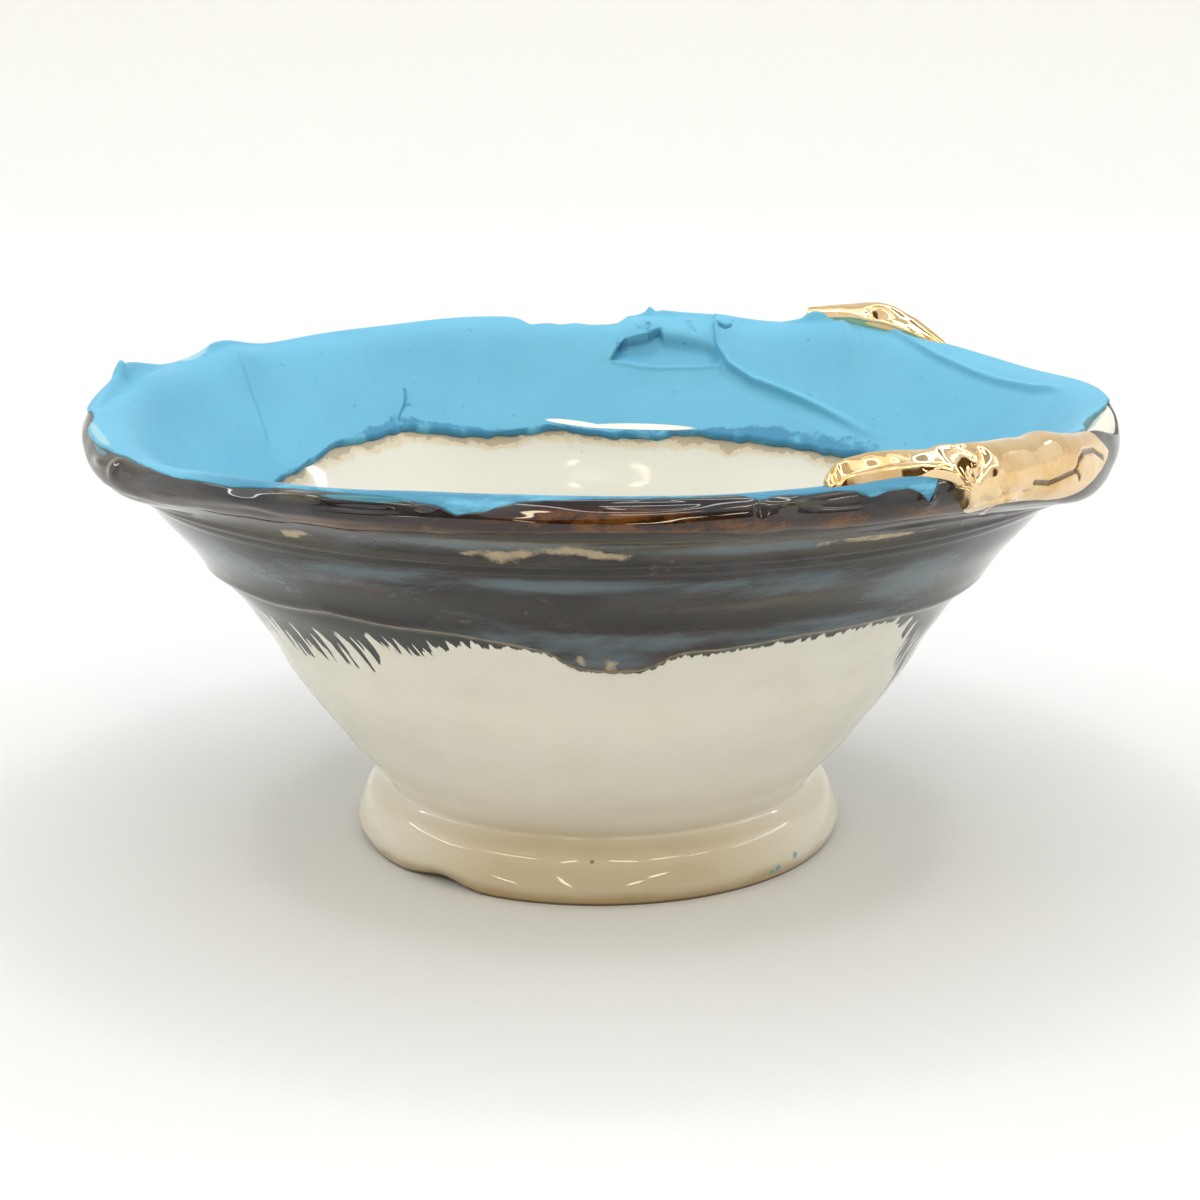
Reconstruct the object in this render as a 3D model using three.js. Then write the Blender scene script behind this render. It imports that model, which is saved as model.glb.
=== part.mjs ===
import * as THREE from 'three';

// A wheel-thrown bowl with a thick icing-like slip inside. Lengths are millimetres.
// It stands on z = 0 with its axis on Z. Bearings are degrees from +X towards +Y,
// so the side towards the viewer, -Y, lies at 270.

// Foot
const footRadius = 57.3;
const footBulgeHeight = 4;
const footEdgeRound = 1.2;
const footShoulderRadius = 54.9;
const footShoulderRise = 6;
const waistRadius = 51;
const waistRise = 3.5;
const soleWidth = 11;
const recessDepth = 3.5;
const recessSlope = 2;

// Wall, each rise counted from the station below it
const heelRadius = 53.5;
const heelRise = 4.5;
const flankRadius = 61.5;
const flankRise = 10;
const bellyRadius = 73.1;
const bellyRise = 16;
const girdleRadius = 79.6;
const girdleRise = 12;
const shoulderRadius = 87.9;
const shoulderRise = 10.5;
const collarRadius = 94.2;
const collarRise = 8.3;
const neckRadius = 103.6;
const neckRise = 11.4;
const wallThickness = 5.6;

// Floor inside, slightly dished
const floorThickness = 9;
const floorRadius = 30;
const floorDish = 1.1;
const floorMiddleShare = 1 / 3;

// Rolled lip; the shares place its undercut and its outermost line between the points beside them
const lipRadius = 117.5;
const lipUndercut = 10.6;
const lipThickness = 7;
const lipRound = 2.4;
const undercutReach = 0.36;
const undercutRise = 0.56;
const lipBulgeRise = 0.42;
const crestRadius = 114.2;
const lipInnerRadius = 107.6;
const lipInnerDrop = 3.2;

// Slip coat inside, and its lower edge measured down from the crest
const slipThickness = 2;
const slipDepth = 27.5;
const slipFeather = 3;

// Mesh fineness
const columns = 138;

const fullTurn = 360;
const halfTurn = fullTurn / 2;

// Waves of the rim: bearing, half-width in degrees, and how far the crest rises there
const crestWaves = [
  { name: 'left droop', bearing: 210, spread: 18, rise: -3.6 },
  { name: 'front left dip', bearing: 241, spread: 12, rise: -1.4 },
  { name: 'left spike', bearing: 174, spread: 2.6, rise: 3.6 },
  { name: 'left swell', bearing: 170, spread: 6, rise: 1.6 },
  { name: 'left saddle', bearing: 157, spread: 5, rise: -1.2 },
  { name: 'left step', bearing: 148.5, spread: 3, rise: 2 },
  { name: 'back left dip', bearing: 138, spread: 7, rise: -0.9 },
  { name: 'back swell', bearing: 108, spread: 10, rise: 1 },
  { name: 'back peak', bearing: 82.5, spread: 2.8, rise: 2.4 },
  { name: 'back roll', bearing: 75, spread: 7, rise: 1.2 },
  { name: 'curled leaf, high end', bearing: 57.5, spread: 4.2, rise: 5.2 },
  { name: 'curled leaf, middle', bearing: 48.5, spread: 6, rise: 5.8 },
  { name: 'curled leaf, low end', bearing: 40.5, spread: 3.5, rise: 1.4 },
  { name: 'right saddle', bearing: 22, spread: 14, rise: -2.2 },
  { name: 'front lump, near end', bearing: 298.5, spread: 5, rise: 3.6 },
  { name: 'front lump, middle', bearing: 306.5, spread: 5, rise: 2.4 },
  { name: 'front lump, broad end', bearing: 317, spread: 10, rise: 3.4 },
];

// How far the rolled lip hangs lower, and how far it stands out, round the rim
const lipDrops = [
  { name: 'left lip', bearing: 208, spread: 15, rise: -5.2 },
  { name: 'right lip', bearing: 334, spread: 15, rise: -6 },
  { name: 'far lip', bearing: 90, spread: 60, rise: -3 },
];
const lipPulls = [
  { name: 'left lip', bearing: 183, spread: 36, rise: -1.2 },
];

// Lumps and hollows pressed in the coat: depth is counted down from the crest
const reliefs = [
  { name: 'front lump on the lip', bearing: 298, spread: 5.5, depth: 1.5, reach: 5, height: 1.2 },
  { name: 'front lump, broad sheet', bearing: 317, spread: 9, depth: 2, reach: 9, height: 1.8 },
  { name: 'curled leaf', bearing: 50, spread: 7, depth: 3, reach: 4.5, height: 2.6 },
  { name: 'sheet beside the leaf', bearing: 25, spread: 16, depth: 6, reach: 4, height: 2.2 },
  { name: 'left wrinkles', bearing: 200, spread: 9, depth: 3, reach: 5, height: 1.6 },
  { name: 'scoop', bearing: 78, spread: 5, depth: 8.5, reach: 3.6, height: -2 },
  { name: 'roll above the scoop', bearing: 80, spread: 6.5, depth: 3.4, reach: 2.2, height: 1.6 },
  { name: 'roll below the scoop', bearing: 78, spread: 6, depth: 13.6, reach: 2.2, height: 1.4 },
  { name: 'scar, upper end', bearing: 68, spread: 4, depth: 8.5, reach: 3, height: 1.6 },
  { name: 'scar, middle', bearing: 59, spread: 4.5, depth: 15.5, reach: 3, height: 1.6 },
  { name: 'scar, lower end', bearing: 49, spread: 5, depth: 20.5, reach: 3, height: 1.3 },
];

// Sag of thick glaze at the lower edge of the dark band, in front
const sag = { bearing: 273, spread: 6, below: 3.2, reach: 4.4, height: 0.9 };

// Finger mark that lifts the edge of the foot
const fingerMark = { bearing: 231, spread: 8, lift: 1.6, inset: 1.4 };

const footBulgeZ = footBulgeHeight;
const footShoulderZ = footBulgeZ + footShoulderRise;
const waistZ = footShoulderZ + waistRise;
const heelZ = waistZ + heelRise;
const flankZ = heelZ + flankRise;
const bellyZ = flankZ + bellyRise;
const girdleZ = bellyZ + girdleRise;
const shoulderZ = girdleZ + shoulderRise;
const collarZ = shoulderZ + collarRise;
const neckZ = collarZ + neckRise;
const lipZ = neckZ + lipUndercut;
const crestZ = lipZ + lipThickness;
const floorZ = recessDepth + floorThickness;
const recessRadius = footRadius - footEdgeRound - soleWidth;

// Shortest way round from one bearing to another, in degrees
function turn(from, to) {
  return ((to - from + fullTurn + halfTurn) % fullTurn) - halfTurn;
}

// Bell of height 1 at zero that fades out beyond one spread
function bell(distance, spread) {
  const share = distance / spread;
  return Math.exp(-share * share);
}

// Sum of the waves of a list at a bearing
function waveSum(waves, bearing) {
  return waves.reduce((sum, wave) => sum + wave.rise * bell(turn(wave.bearing, bearing), wave.spread), 0);
}

function smoothStep(low, high, value) {
  const share = THREE.MathUtils.clamp((value - low) / (high - low), 0, 1);
  return share * share * (3 - 2 * share);
}

// Outside of the wall, from the foot to the neck, as radius and height
function outsideStations(bearing) {
  const mark = bell(turn(fingerMark.bearing, bearing), fingerMark.spread);
  const soleLift = fingerMark.lift * mark;
  const soleInset = fingerMark.inset * mark;
  return [
    [footRadius - footEdgeRound - soleInset, soleLift],
    [footRadius, footBulgeZ + soleLift / 2],
    [footShoulderRadius, footShoulderZ],
    [waistRadius, waistZ],
    [heelRadius, heelZ],
    [flankRadius, flankZ],
    [bellyRadius, bellyZ],
    [girdleRadius, girdleZ],
    [shoulderRadius, shoulderZ],
    [collarRadius, collarZ],
    [neckRadius, neckZ],
  ];
}

// The rolled lip, from its lower edge over the crest to its inner shoulder
function lipStations(bearing) {
  const top = crestZ + waveSum(crestWaves, bearing);
  const low = lipZ + waveSum(lipDrops, bearing);
  const pull = waveSum(lipPulls, bearing);
  const edgeRadius = lipRadius - lipRound + pull;
  return [
    [neckRadius + undercutReach * (edgeRadius - neckRadius), neckZ + undercutRise * (low - neckZ)],
    [edgeRadius, low],
    [lipRadius + pull, low + lipBulgeRise * (top - low)],
    [crestRadius + pull, top],
    [lipInnerRadius + pull, top - lipInnerDrop],
  ];
}

// Inside of the wall: the outer stations moved in by the wall, down to the floor
function insideStations(outside) {
  const inner = [];
  for (let i = outside.length - 1; outside[i][1] > floorZ + floorThickness; i -= 1) {
    const [lowR, lowZ] = outside[i - 1];
    const [highR, highZ] = outside[Math.min(i + 1, outside.length - 1)];
    const length = Math.hypot(highR - lowR, highZ - lowZ);
    const inward = (highZ - lowZ) / length;
    const upward = (highR - lowR) / length;
    inner.push([outside[i][0] - wallThickness * inward, outside[i][1] + wallThickness * upward]);
  }
  inner.push([floorRadius, floorZ + floorDish]);
  inner.push([floorRadius * floorMiddleShare, floorZ]);
  return inner;
}

// How far the coat stands out from the wall at a bearing and a height
function coat(bearing, radius, height, outsideFace) {
  const crest = crestZ + waveSum(crestWaves, bearing);
  const depth = crest - height;
  let thickness = 0;
  if (!outsideFace) {
    const lowerEdge = smoothStep(slipDepth, slipDepth - slipFeather, depth);
    const overCrest = smoothStep(crestRadius, lipInnerRadius, radius);
    thickness = slipThickness * lowerEdge * overCrest;
  }
  for (const relief of reliefs) {
    const across = bell(turn(relief.bearing, bearing), relief.spread);
    const along = bell(depth - relief.depth, relief.reach);
    const onLip = radius > lipInnerRadius || !outsideFace;
    thickness += onLip ? relief.height * across * along : 0;
  }
  if (outsideFace) {
    const across = bell(turn(sag.bearing, bearing), sag.spread);
    thickness += sag.height * across * bell(height - shoulderZ + sag.below, sag.reach);
  }
  return thickness;
}

// Points of one upright section, from the sole's edge over the lip to the floor's middle
function section(bearing) {
  const outside = outsideStations(bearing);
  const lip = lipStations(bearing);
  const inside = insideStations(outside);
  const stations = [...outside, ...lip, ...inside];
  const crestIndex = outside.length + lip.length - 2;
  const fineFrom = outside.length - 1;
  const fineTo = outside.length + lip.length + 2;
  const curve = new THREE.SplineCurve(stations.map(([radius, height]) => new THREE.Vector2(radius, height)));
  const spans = stations.length - 1;
  const path = [];
  for (let span = 0; span < spans; span += 1) {
    const steps = span >= fineFrom && span < fineTo ? 2 : 1;
    for (let step = 0; step < steps; step += 1) {
      path.push({ t: (span + step / steps) / spans, outsideFace: span + step / steps <= crestIndex });
    }
  }
  path.push({ t: 1, outsideFace: false });
  return path.map(({ t, outsideFace }) => {
    const point = curve.getPoint(t);
    const tangent = curve.getTangent(t);
    const thickness = coat(bearing, point.x, point.y, outsideFace);
    return [point.x + tangent.y * thickness, point.y - tangent.x * thickness];
  });
}

// Closed surface: the sections in turn, with the recess below and the floor above each one middle point
function bowlGeometry() {
  const sections = [];
  for (let column = 0; column < columns; column += 1) {
    const bearing = (fullTurn * column) / columns;
    const below = [
      [recessRadius - recessSlope, recessDepth],
      [recessRadius, 0],
    ];
    sections.push([...below, ...section(bearing)]);
  }
  const rows = sections[0].length;
  const positions = [];
  sections.forEach((points, column) => {
    const angle = (2 * Math.PI * column) / columns;
    for (const [radius, height] of points) {
      positions.push(radius * Math.cos(angle), radius * Math.sin(angle), height);
    }
  });
  const lowPole = columns * rows;
  const highPole = lowPole + 1;
  positions.push(0, 0, recessDepth, 0, 0, floorZ);
  const faces = [];
  for (let column = 0; column < columns; column += 1) {
    const here = column * rows;
    const next = ((column + 1) % columns) * rows;
    faces.push(lowPole, next, here);
    for (let row = 0; row < rows - 1; row += 1) {
      faces.push(here + row, next + row, next + row + 1);
      faces.push(here + row, next + row + 1, here + row + 1);
    }
    faces.push(here + rows - 1, next + rows - 1, highPole);
  }
  const geometry = new THREE.BufferGeometry();
  geometry.setAttribute('position', new THREE.Float32BufferAttribute(positions, 3));
  geometry.setIndex(faces);
  geometry.computeVertexNormals();
  return geometry;
}

// Glossy cream stoneware glaze
function creamGlaze() {
  return new THREE.MeshStandardMaterial({ color: 0xd8d3ba, roughness: 0.22, metalness: 0 });
}

const bowl = new THREE.Mesh(bowlGeometry(), creamGlaze());
bowl.name = 'bowl';

const group = new THREE.Group();
group.add(bowl);

export default group;
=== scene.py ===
import math

import bpy
import numpy as np
from mathutils import Matrix, Vector


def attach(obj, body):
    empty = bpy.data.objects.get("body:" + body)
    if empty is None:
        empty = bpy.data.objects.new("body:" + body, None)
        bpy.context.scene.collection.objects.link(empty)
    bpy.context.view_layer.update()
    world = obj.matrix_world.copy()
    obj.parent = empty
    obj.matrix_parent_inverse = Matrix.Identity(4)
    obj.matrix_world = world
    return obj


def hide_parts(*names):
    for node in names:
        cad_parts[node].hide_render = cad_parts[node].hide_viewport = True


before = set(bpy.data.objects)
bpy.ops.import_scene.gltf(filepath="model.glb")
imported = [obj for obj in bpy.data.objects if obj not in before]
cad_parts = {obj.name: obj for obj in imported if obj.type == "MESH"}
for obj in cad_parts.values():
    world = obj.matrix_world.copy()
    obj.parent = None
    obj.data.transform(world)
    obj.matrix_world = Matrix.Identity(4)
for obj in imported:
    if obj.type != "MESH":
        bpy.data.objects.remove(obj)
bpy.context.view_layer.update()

MM = 0.001

# The bowl's own sizes in millimetres; bearings in degrees from +X towards +Y, the front at 270
FOOT_RADIUS = 57.3
FOOT_BULGE_Z = 4.0
FOOT_EDGE_ROUND = 1.2
FOOT_SHOULDER_RADIUS = 54.9
FOOT_SHOULDER_Z = 10.0
WAIST_RADIUS = 51.0
WAIST_Z = 13.5
SOLE_WIDTH = 11.0
RECESS_DEPTH = 3.5
RECESS_SLOPE = 2.0
HEEL_RADIUS, HEEL_Z = 53.5, 18.0
FLANK_RADIUS, FLANK_Z = 61.5, 28.0
BELLY_RADIUS, BELLY_Z = 73.1, 44.0
GIRDLE_RADIUS, GIRDLE_Z = 79.6, 56.0
SHOULDER_RADIUS, SHOULDER_Z = 87.9, 66.5
COLLAR_RADIUS, COLLAR_Z = 94.2, 74.8
NECK_RADIUS, NECK_Z = 103.6, 86.2
WALL_THICKNESS = 5.6
FLOOR_THICKNESS = 9.0
FLOOR_RADIUS = 30.0
FLOOR_Z = RECESS_DEPTH + FLOOR_THICKNESS
LIP_RADIUS = 116.5
LIP_ROUND = 2.3
UNDERCUT_REACH = 0.36
UNDERCUT_RISE = 0.56
LIP_Z = 96.8
CREST_RADIUS = 114.2
CREST_Z = 102.8
LIP_INNER_RADIUS = 107.6
LIP_INNER_DROP = 3.2
RECESS_RADIUS = FOOT_RADIUS - FOOT_EDGE_ROUND - SOLE_WIDTH
MM_PER_DEGREE = math.radians(1.0) * LIP_INNER_RADIUS

# Places along the section, counted in stations from the sole's edge
LIP_LOW_T = 12.0
CREST_T = 14.0
LIP_IN_T = 15.0
LAST_T = 23.0

# Waves of the rim: bearing, half-width in degrees, rise in millimetres
CREST_WAVES = (
    (210, 18, -3.6), (241, 12, -1.1), (170, 6, 1.2), (157, 5, -0.9), (147, 3.5, 0.9), (138, 7, -0.9),
    (108, 10, 1.0), (83, 3.5, 0.8), (75, 7, 1.2), (52, 9, 2.6), (22, 14, -2.2), (300, 6, 0.6),
    (318, 10, 1.2),
)
LIP_DROPS = ((208, 15, -5.2), (334, 15, -6.0), (90, 60, -3.0))
LIP_PULLS = ((183, 36, -1.5), (357, 22, 0.2))
FINGER_MARK = (231, 8, 1.6, 1.4)

# Millimetres that the slip stands above the wall, and that the edges of every coat dive into it
SLIP_THICKNESS = 1.9
TUCK = 0.9

# Height of the lower edge of the dark glaze round the outside
GLAZE_EDGE = (
    (200, 68.5), (213, 69.3), (223, 69.4), (228, 70.0), (234, 70.9), (243, 70.2), (252, 70.1), (257, 69.0),
    (262, 67.6), (264.5, 66.0), (266, 63.4), (268, 62.2), (272, 61.8), (276, 61.9), (278, 63.2),
    (279.5, 65.6), (282, 66.5), (286, 66.4), (292, 67.5), (297, 68.0), (304, 68.1), (310, 68.3),
    (316, 67.7), (325, 67.0), (350, 66.5), (20, 68.0), (60, 66.0), (90, 68.5), (120, 66.5), (150, 68.0),
    (180, 67.0),
)
# How far the thin dark fringe runs on below that edge
FRINGE = (
    (195, 8.0), (205, 14.0), (213, 16.0), (222, 14.0), (230, 14.0), (235.5, 15.0), (238, 9.0), (243, 7.5),
    (249, 7.5), (252, 4.0), (256, 2.6), (259, 1.6), (270, 0.9), (278, 1.4), (283, 2.6), (286, 1.6),
    (300, 2.4), (315, 2.2), (320, 6.0), (324, 10.0), (328, 20.0), (332, 28.0), (336, 24.0), (340, 9.0),
    (10, 4.0), (60, 9.0), (90, 4.0), (130, 7.0), (170, 4.0),
)
# Where the dark glaze thins to tan or blooms grey-blue, the blooms on the sides partly a painted sheen:
# bearing, t, half-width, half-height, lean
TAN_PLACES = (
    (257.6, 10.84, 1.7, 0.2, 0.05), (259.8, 10.72, 1.9, 0.26, 0.0), (262.4, 10.9, 1.9, 0.24, 0.05),
    (264.8, 11.06, 1.9, 0.24, 0.04), (267.0, 11.1, 1.7, 0.24, 0.0), (269.2, 10.96, 1.7, 0.28, -0.06),
    (271.2, 10.82, 1.5, 0.2, -0.04), (236.4, 10.86, 1.3, 0.2, 0.0), (238.2, 11.0, 1.1, 0.14, 0.0),
    (302, 10.86, 6.0, 0.1, -0.004), (298, 11.0, 3.0, 0.08, 0.0), (267.8, 7.92, 0.6, 0.12, 0.0),
    (271.8, 7.78, 0.8, 0.2, 0.0),
)
BLOOM_AND_SHEEN_PLACES = (
    (258, 11.3, 14.0, 0.3, 0.0), (285, 11.0, 10.0, 0.3, 0.0), (240, 9.7, 14.0, 0.26, 0.01),
    (266, 9.8, 12.0, 0.12, 0.0), (262, 8.35, 22.0, 0.36, 0.0), (270, 7.9, 8.0, 0.34, 0.0),
    (290, 9.7, 10.0, 0.2, 0.0), (298, 8.4, 16.0, 0.34, 0.0), (312, 9.2, 9.0, 0.5, 0.0),
    (218, 9.4, 12.0, 0.5, 0.0),
)
# Height of the slip's lower edge inside, and how far its outer edge reaches past the crest, in stations
SLIP_LOW = (
    (160, 73.5), (156.8, 73.6), (152.6, 74.0), (148.8, 74.9), (139.2, 77.4), (133.2, 77.6), (128.4, 78.2),
    (125.2, 79.2), (122.4, 78.8), (119.8, 77.8), (114, 76.9), (109, 75.6), (104.6, 76.4), (99, 77.1),
    (93, 76.0), (87.6, 75.0), (80.8, 75.2), (75.4, 75.9), (69.8, 75.6), (65.2, 75.2), (60.8, 75.6),
    (52.4, 75.2), (46.4, 74.7), (40.2, 75.6), (20, 76.0), (350, 76.0), (320, 77.0), (300, 75.5),
    (270, 76.5), (240, 75.5), (210, 76.5), (185, 75.0),
)
SLIP_OUT = (
    (104, 0.1), (101.5, -0.2), (100, -0.62), (93, -0.55), (87, -0.6), (85.5, 0.1), (70, 0.2), (50, 0.1),
    (30, 0.3), (10, 0.3), (355, 0.2), (350, -0.1), (344, -0.5), (338, -0.5), (334, -0.2), (325, -0.3),
    (310, -0.2), (304, 0.2), (302.6, 0.9), (302, 1.3), (301.4, 0.75), (300.2, 0.5), (297.8, 0.45),
    (296.4, 0.62), (295.6, 0.62), (294.6, 0.34), (292.4, 0.22), (289.4, 0.3), (286.4, 0.2), (285, 0.36),
    (284.2, 0.28), (282.8, -0.1), (279.4, -0.14), (273.8, -0.12), (270.2, 0.04), (266.6, 0.14),
    (264.8, 0.22), (263, 0.28), (262.2, 0.42), (260.8, 0.54), (260, 0.7), (258.2, 0.78), (257.2, 0.88),
    (256.6, 0.76), (255.6, 0.58), (254, 0.52), (251.8, 0.3), (248, 0.16), (244.2, 0.06), (242, -0.1),
    (238, 0.2), (237, 0.32), (233, 0.5), (229, 0.46), (225, 0.46), (221.4, 0.36), (217, 0.1), (212, -0.1),
    (208, 0.12), (202.2, 0.32), (198.6, 0.42), (196.4, 0.4), (195.4, 0.1), (191, 0.12), (189, 0.4),
    (186, 0.6), (180, 0.5), (170, 0.3), (150, 0.3), (130, 0.25), (110, 0.15),
)
# The slip's thin upright edge along the crest: bearing and millimetres it stands above the coat
SLIP_FIN = (
    (190, 0.2), (182, 0.8), (178, 1.3), (175.4, 1.6), (174.5, 4.0), (174.0, 4.4), (173.3, 3.0), (171, 2.2),
    (166, 0.9), (161, 0.0), (154.4, 0.0), (152.6, 0.5), (149.6, 1.5), (146, 1.0), (140, 0.2), (120, 0.0),
    (84.6, 0.2), (83.3, 1.0), (83.0, 2.4), (82.6, 2.2), (82.0, 1.0), (81.0, 1.4), (76, 0.7), (70, 0.2),
    (64, 0.1), (62.4, 0.6), (61, 1.1), (60.3, 2.2), (59.4, 2.9), (57.5, 2.5), (55, 1.0), (52, 0.1),
    (48, 0.0),
)
# Width in millimetres of the translucent border along the slip's lower edge
SLIP_BORDER = (
    (158, 1.2), (150, 1.0), (142, 1.4), (136, 2.0), (130, 3.4), (126, 4.6), (122, 3.6), (117, 2.6),
    (112, 2.0), (106, 1.0), (99, 0.9), (90, 1.2), (84, 1.6), (78, 1.8), (72, 1.8), (68, 3.0), (62, 3.8),
    (55, 4.6), (47, 4.4), (40, 4.0), (20, 3.0), (300, 2.5), (240, 2.5), (180, 2.0),
)
# The scraped lower edge of a knife stroke on the left, and the raised scar: bearing and t of each corner
SCRAPE = ((147.8, 14.7), (149.6, 15.4), (150.8, 16.02), (152.6, 16.5), (154.4, 16.76))
SCAR = (
    (72.9, 14.7), (71.6, 15.36), (69.4, 15.72), (64.8, 16.04), (60.4, 16.17), (53.2, 16.38), (46.0, 16.6),
    (41.8, 16.72), (32.8, 16.84),
)
# Thin cuts in the slip: path of (bearing, t), depth and half-width in millimetres
SLIP_CUTS = (
    (((122.0, 16.14), (122.3, 16.3), (123.2, 16.46), (124.4, 16.6), (125.0, 16.74)), 0.8, 0.24),
    (((123.2, 16.46), (122.1, 16.44)), 0.7, 0.22),
    (((77.0, 14.64), (76.6, 14.88), (75.6, 15.08)), 0.7, 0.5),
    (((72.2, 14.8), (71.2, 14.9), (70.6, 14.8)), 1.0, 0.5),
    (((55.0, 14.2), (52.0, 14.64), (50.2, 15.0), (49.2, 15.25)), 0.8, 1.0),
    (((154.2, 14.1), (152.8, 14.5), (151.8, 14.9)), 0.35, 0.3),
)
# Folds that stand up on one side of a line: path, rise, width of the raised side, where the fading starts
SLIP_FOLDS = (
    (((46.0, 14.45), (43.4, 14.58), (36.2, 14.88), (28.4, 15.02), (22.4, 15.06), (11.8, 15.02), (2.2, 14.7)),
     0.9, 6.0, 0.85),
    (((190, 14.2), (180, 14.5), (170, 14.6), (162, 14.45)), -0.5, 4.0, 0.8),
    (((49.6, 15.25), (50.8, 15.0), (52.4, 14.64), (55.0, 14.2)), 0.9, 5.0, 0.9),
)
# The scoop: bearings where its right and left side start and end, torn roof, upper and lower edge
SCOOP_RIGHT = (70.9, 71.5)
SCOOP_LEFT = (88.3, 87.7)
SCOOP_ROOF = ((80.8, 15.02), (82.6, 15.22), (86.2, 15.3), (87.2, 15.46), (88.0, 15.68))
SCOOP_TOP = (
    (71.0, 15.6), (72.6, 15.36), (76.2, 15.28), (80.4, 15.2), (80.8, 15.02), (82.6, 15.22), (86.2, 15.3),
    (87.2, 15.46), (88.0, 15.68), (89.0, 15.72),
)
SCOOP_LOW = ((70.5, 15.74), (74.2, 15.8), (80.2, 15.84), (83.6, 15.82), (88.0, 15.7), (89.0, 15.72))
# Soft places in the slip: the narrow painted reflection low on the back, pale glaze at the rim with a painted
# highlight on a lit ridge at the front left, the ruffled edge
GLEAM_PLACES = ((82.5, 17.09, 9.5, 0.075, 0.0), (93.5, 17.03, 5.5, 0.06, -0.018))
PALE_AND_HIGHLIGHT_PLACES = ((201, 13.95, 5.5, 0.13, 0.012), (153.5, 14.1, 3.0, 0.2, 0.0), (343, 14.2, 3.0, 0.3, 0.0))
RUFFLE_PLACES = ((86.8, 15.42, 1.5, 0.2, -0.05), (82.6, 15.0, 2.4, 0.2, -0.06))
# Lower and upper edge of the thick glassy glaze on the lip, in stations
LIP_GLAZE_LOW = (
    (190, 12.6), (202, 12.5), (206, 12.6), (211, 12.6), (215, 12.2), (218, 11.8), (222, 11.5), (231, 11.25),
    (239, 11.25), (246, 11.3), (251, 11.55), (256, 11.8), (261, 12.0), (266, 12.4), (270, 12.45),
    (275, 12.2), (279, 11.95), (285, 11.75), (294, 11.7), (301, 11.6), (308, 11.4), (330, 11.6), (0, 11.8),
    (90, 11.6), (160, 11.9),
)
LIP_GLAZE_HIGH = (
    (190, 14.0), (206, 14.1), (230, 14.0), (250, 14.15), (270, 14.3), (290, 14.3), (310, 14.3), (334, 14.2),
    (339, 13.7), (343, 13.45), (347, 13.6), (351, 14.0), (60, 14.2), (84, 14.1), (87, 13.4), (100, 13.4),
    (103, 14.1),
)
# Smooth lumps and hollows of that glaze: bearing, t, half-width, half-height, lean, millimetres
LIP_LUMPS = (
    (241.2, 13.56, 2.2, 0.18, 0.0, 1.0), (254.4, 13.5, 0.8, 0.12, 0.0, 0.8),
    (273.5, 13.72, 5.5, 0.22, 0.0, -0.8), (294.3, 13.42, 4.6, 0.2, 0.0, -0.8),
    (302.1, 13.1, 0.8, 0.35, 0.0, 0.8), (207, 13.45, 2.4, 0.16, 0.02, 0.7), (211, 13.5, 1.0, 0.3, 0.0, 0.7),
    (225, 13.0, 3.0, 0.25, 0.0, -0.5), (234, 13.1, 2.6, 0.25, 0.0, 0.45), (248, 13.3, 3.6, 0.16, 0.0, -0.5),
    (262, 13.1, 3.0, 0.2, 0.0, 0.35), (284.6, 13.2, 0.5, 0.4, 0.25, -0.5),
    (287.5, 13.5, 1.6, 0.2, 0.0, 0.5),
)
# Where that glaze turns teal, olive or cream
TEAL_PLACES = (
    (248.5, 13.72, 4.6, 0.16, 0.0), (262, 13.95, 5.0, 0.12, 0.0), (301.9, 13.5, 0.55, 0.4, 0.12),
    (297, 13.8, 4.0, 0.12, 0.0), (203.5, 13.72, 3.6, 0.12, 0.0), (310, 13.35, 3.5, 0.1, 0.0),
)
OLIVE_PLACES = (
    (241.2, 13.56, 2.6, 0.22, 0.0), (210, 13.5, 2.2, 0.3, 0.0), (230, 12.6, 7.0, 0.2, 0.0),
    (289, 13.45, 2.2, 0.12, 0.0),
)
CREAM_PLACES = ((197.5, 13.86, 3.4, 0.07, 0.012), (204.5, 13.95, 3.0, 0.05, 0.0))
# The two gilded lumps: first and last bearing, inner and outer edge in stations, rise in millimetres
GOLD_FRONT_ENDS = (292.2, 341.4)
GOLD_BACK_ENDS = (37.6, 60.4)
GOLD_FRONT_IN = (
    (292, 14.5), (294, 14.7), (297, 14.95), (302, 15.0), (312, 15.0), (320, 15.1), (325, 14.95),
    (329, 14.7), (332, 14.35), (334, 13.85), (338, 13.3), (342, 12.8),
)
GOLD_FRONT_OUT = (
    (292, 14.05), (300, 14.05), (302.4, 13.9), (303.6, 13.7), (305.2, 13.5), (306.0, 13.0), (306.6, 12.2),
    (307.6, 11.8), (309, 11.6), (310.4, 11.75), (311.4, 11.5), (313, 11.1), (316, 11.1), (318.5, 11.25),
    (320, 11.4), (321.4, 11.2), (323, 11.05), (326, 11.1), (329, 11.2), (331, 11.3), (333, 11.4),
    (336, 11.6), (339, 11.9), (342, 12.5),
)
GOLD_FRONT_RISE = (
    (292.2, 1.6), (292.6, 3.2), (293.4, 4.6), (295, 5.8), (298.4, 6.5), (302.6, 6.2), (306, 5.7),
    (309.5, 5.1), (312, 4.5), (315, 4.0), (317, 3.4), (318.6, 3.2), (320.5, 3.3), (323, 2.9), (326, 2.2),
    (329, 1.5), (332, 1.0), (335, 0.7), (338.6, 0.4), (341.4, 0.3),
)
GOLD_BACK_IN = ((37, 14.2), (39, 14.3), (45, 14.5), (50, 14.6), (54, 14.4), (60, 14.15), (61, 14.1))
GOLD_BACK_OUT = ((37, 13.9), (40, 13.6), (45, 13.2), (54, 13.2), (59, 13.5), (61, 13.7))
GOLD_BACK_RISE = (
    (37.6, 0.5), (39, 1.7), (40.8, 2.9), (44, 5.0), (47.8, 6.0), (52.4, 6.0), (56.8, 5.8), (60.4, 5.6),
)
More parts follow.
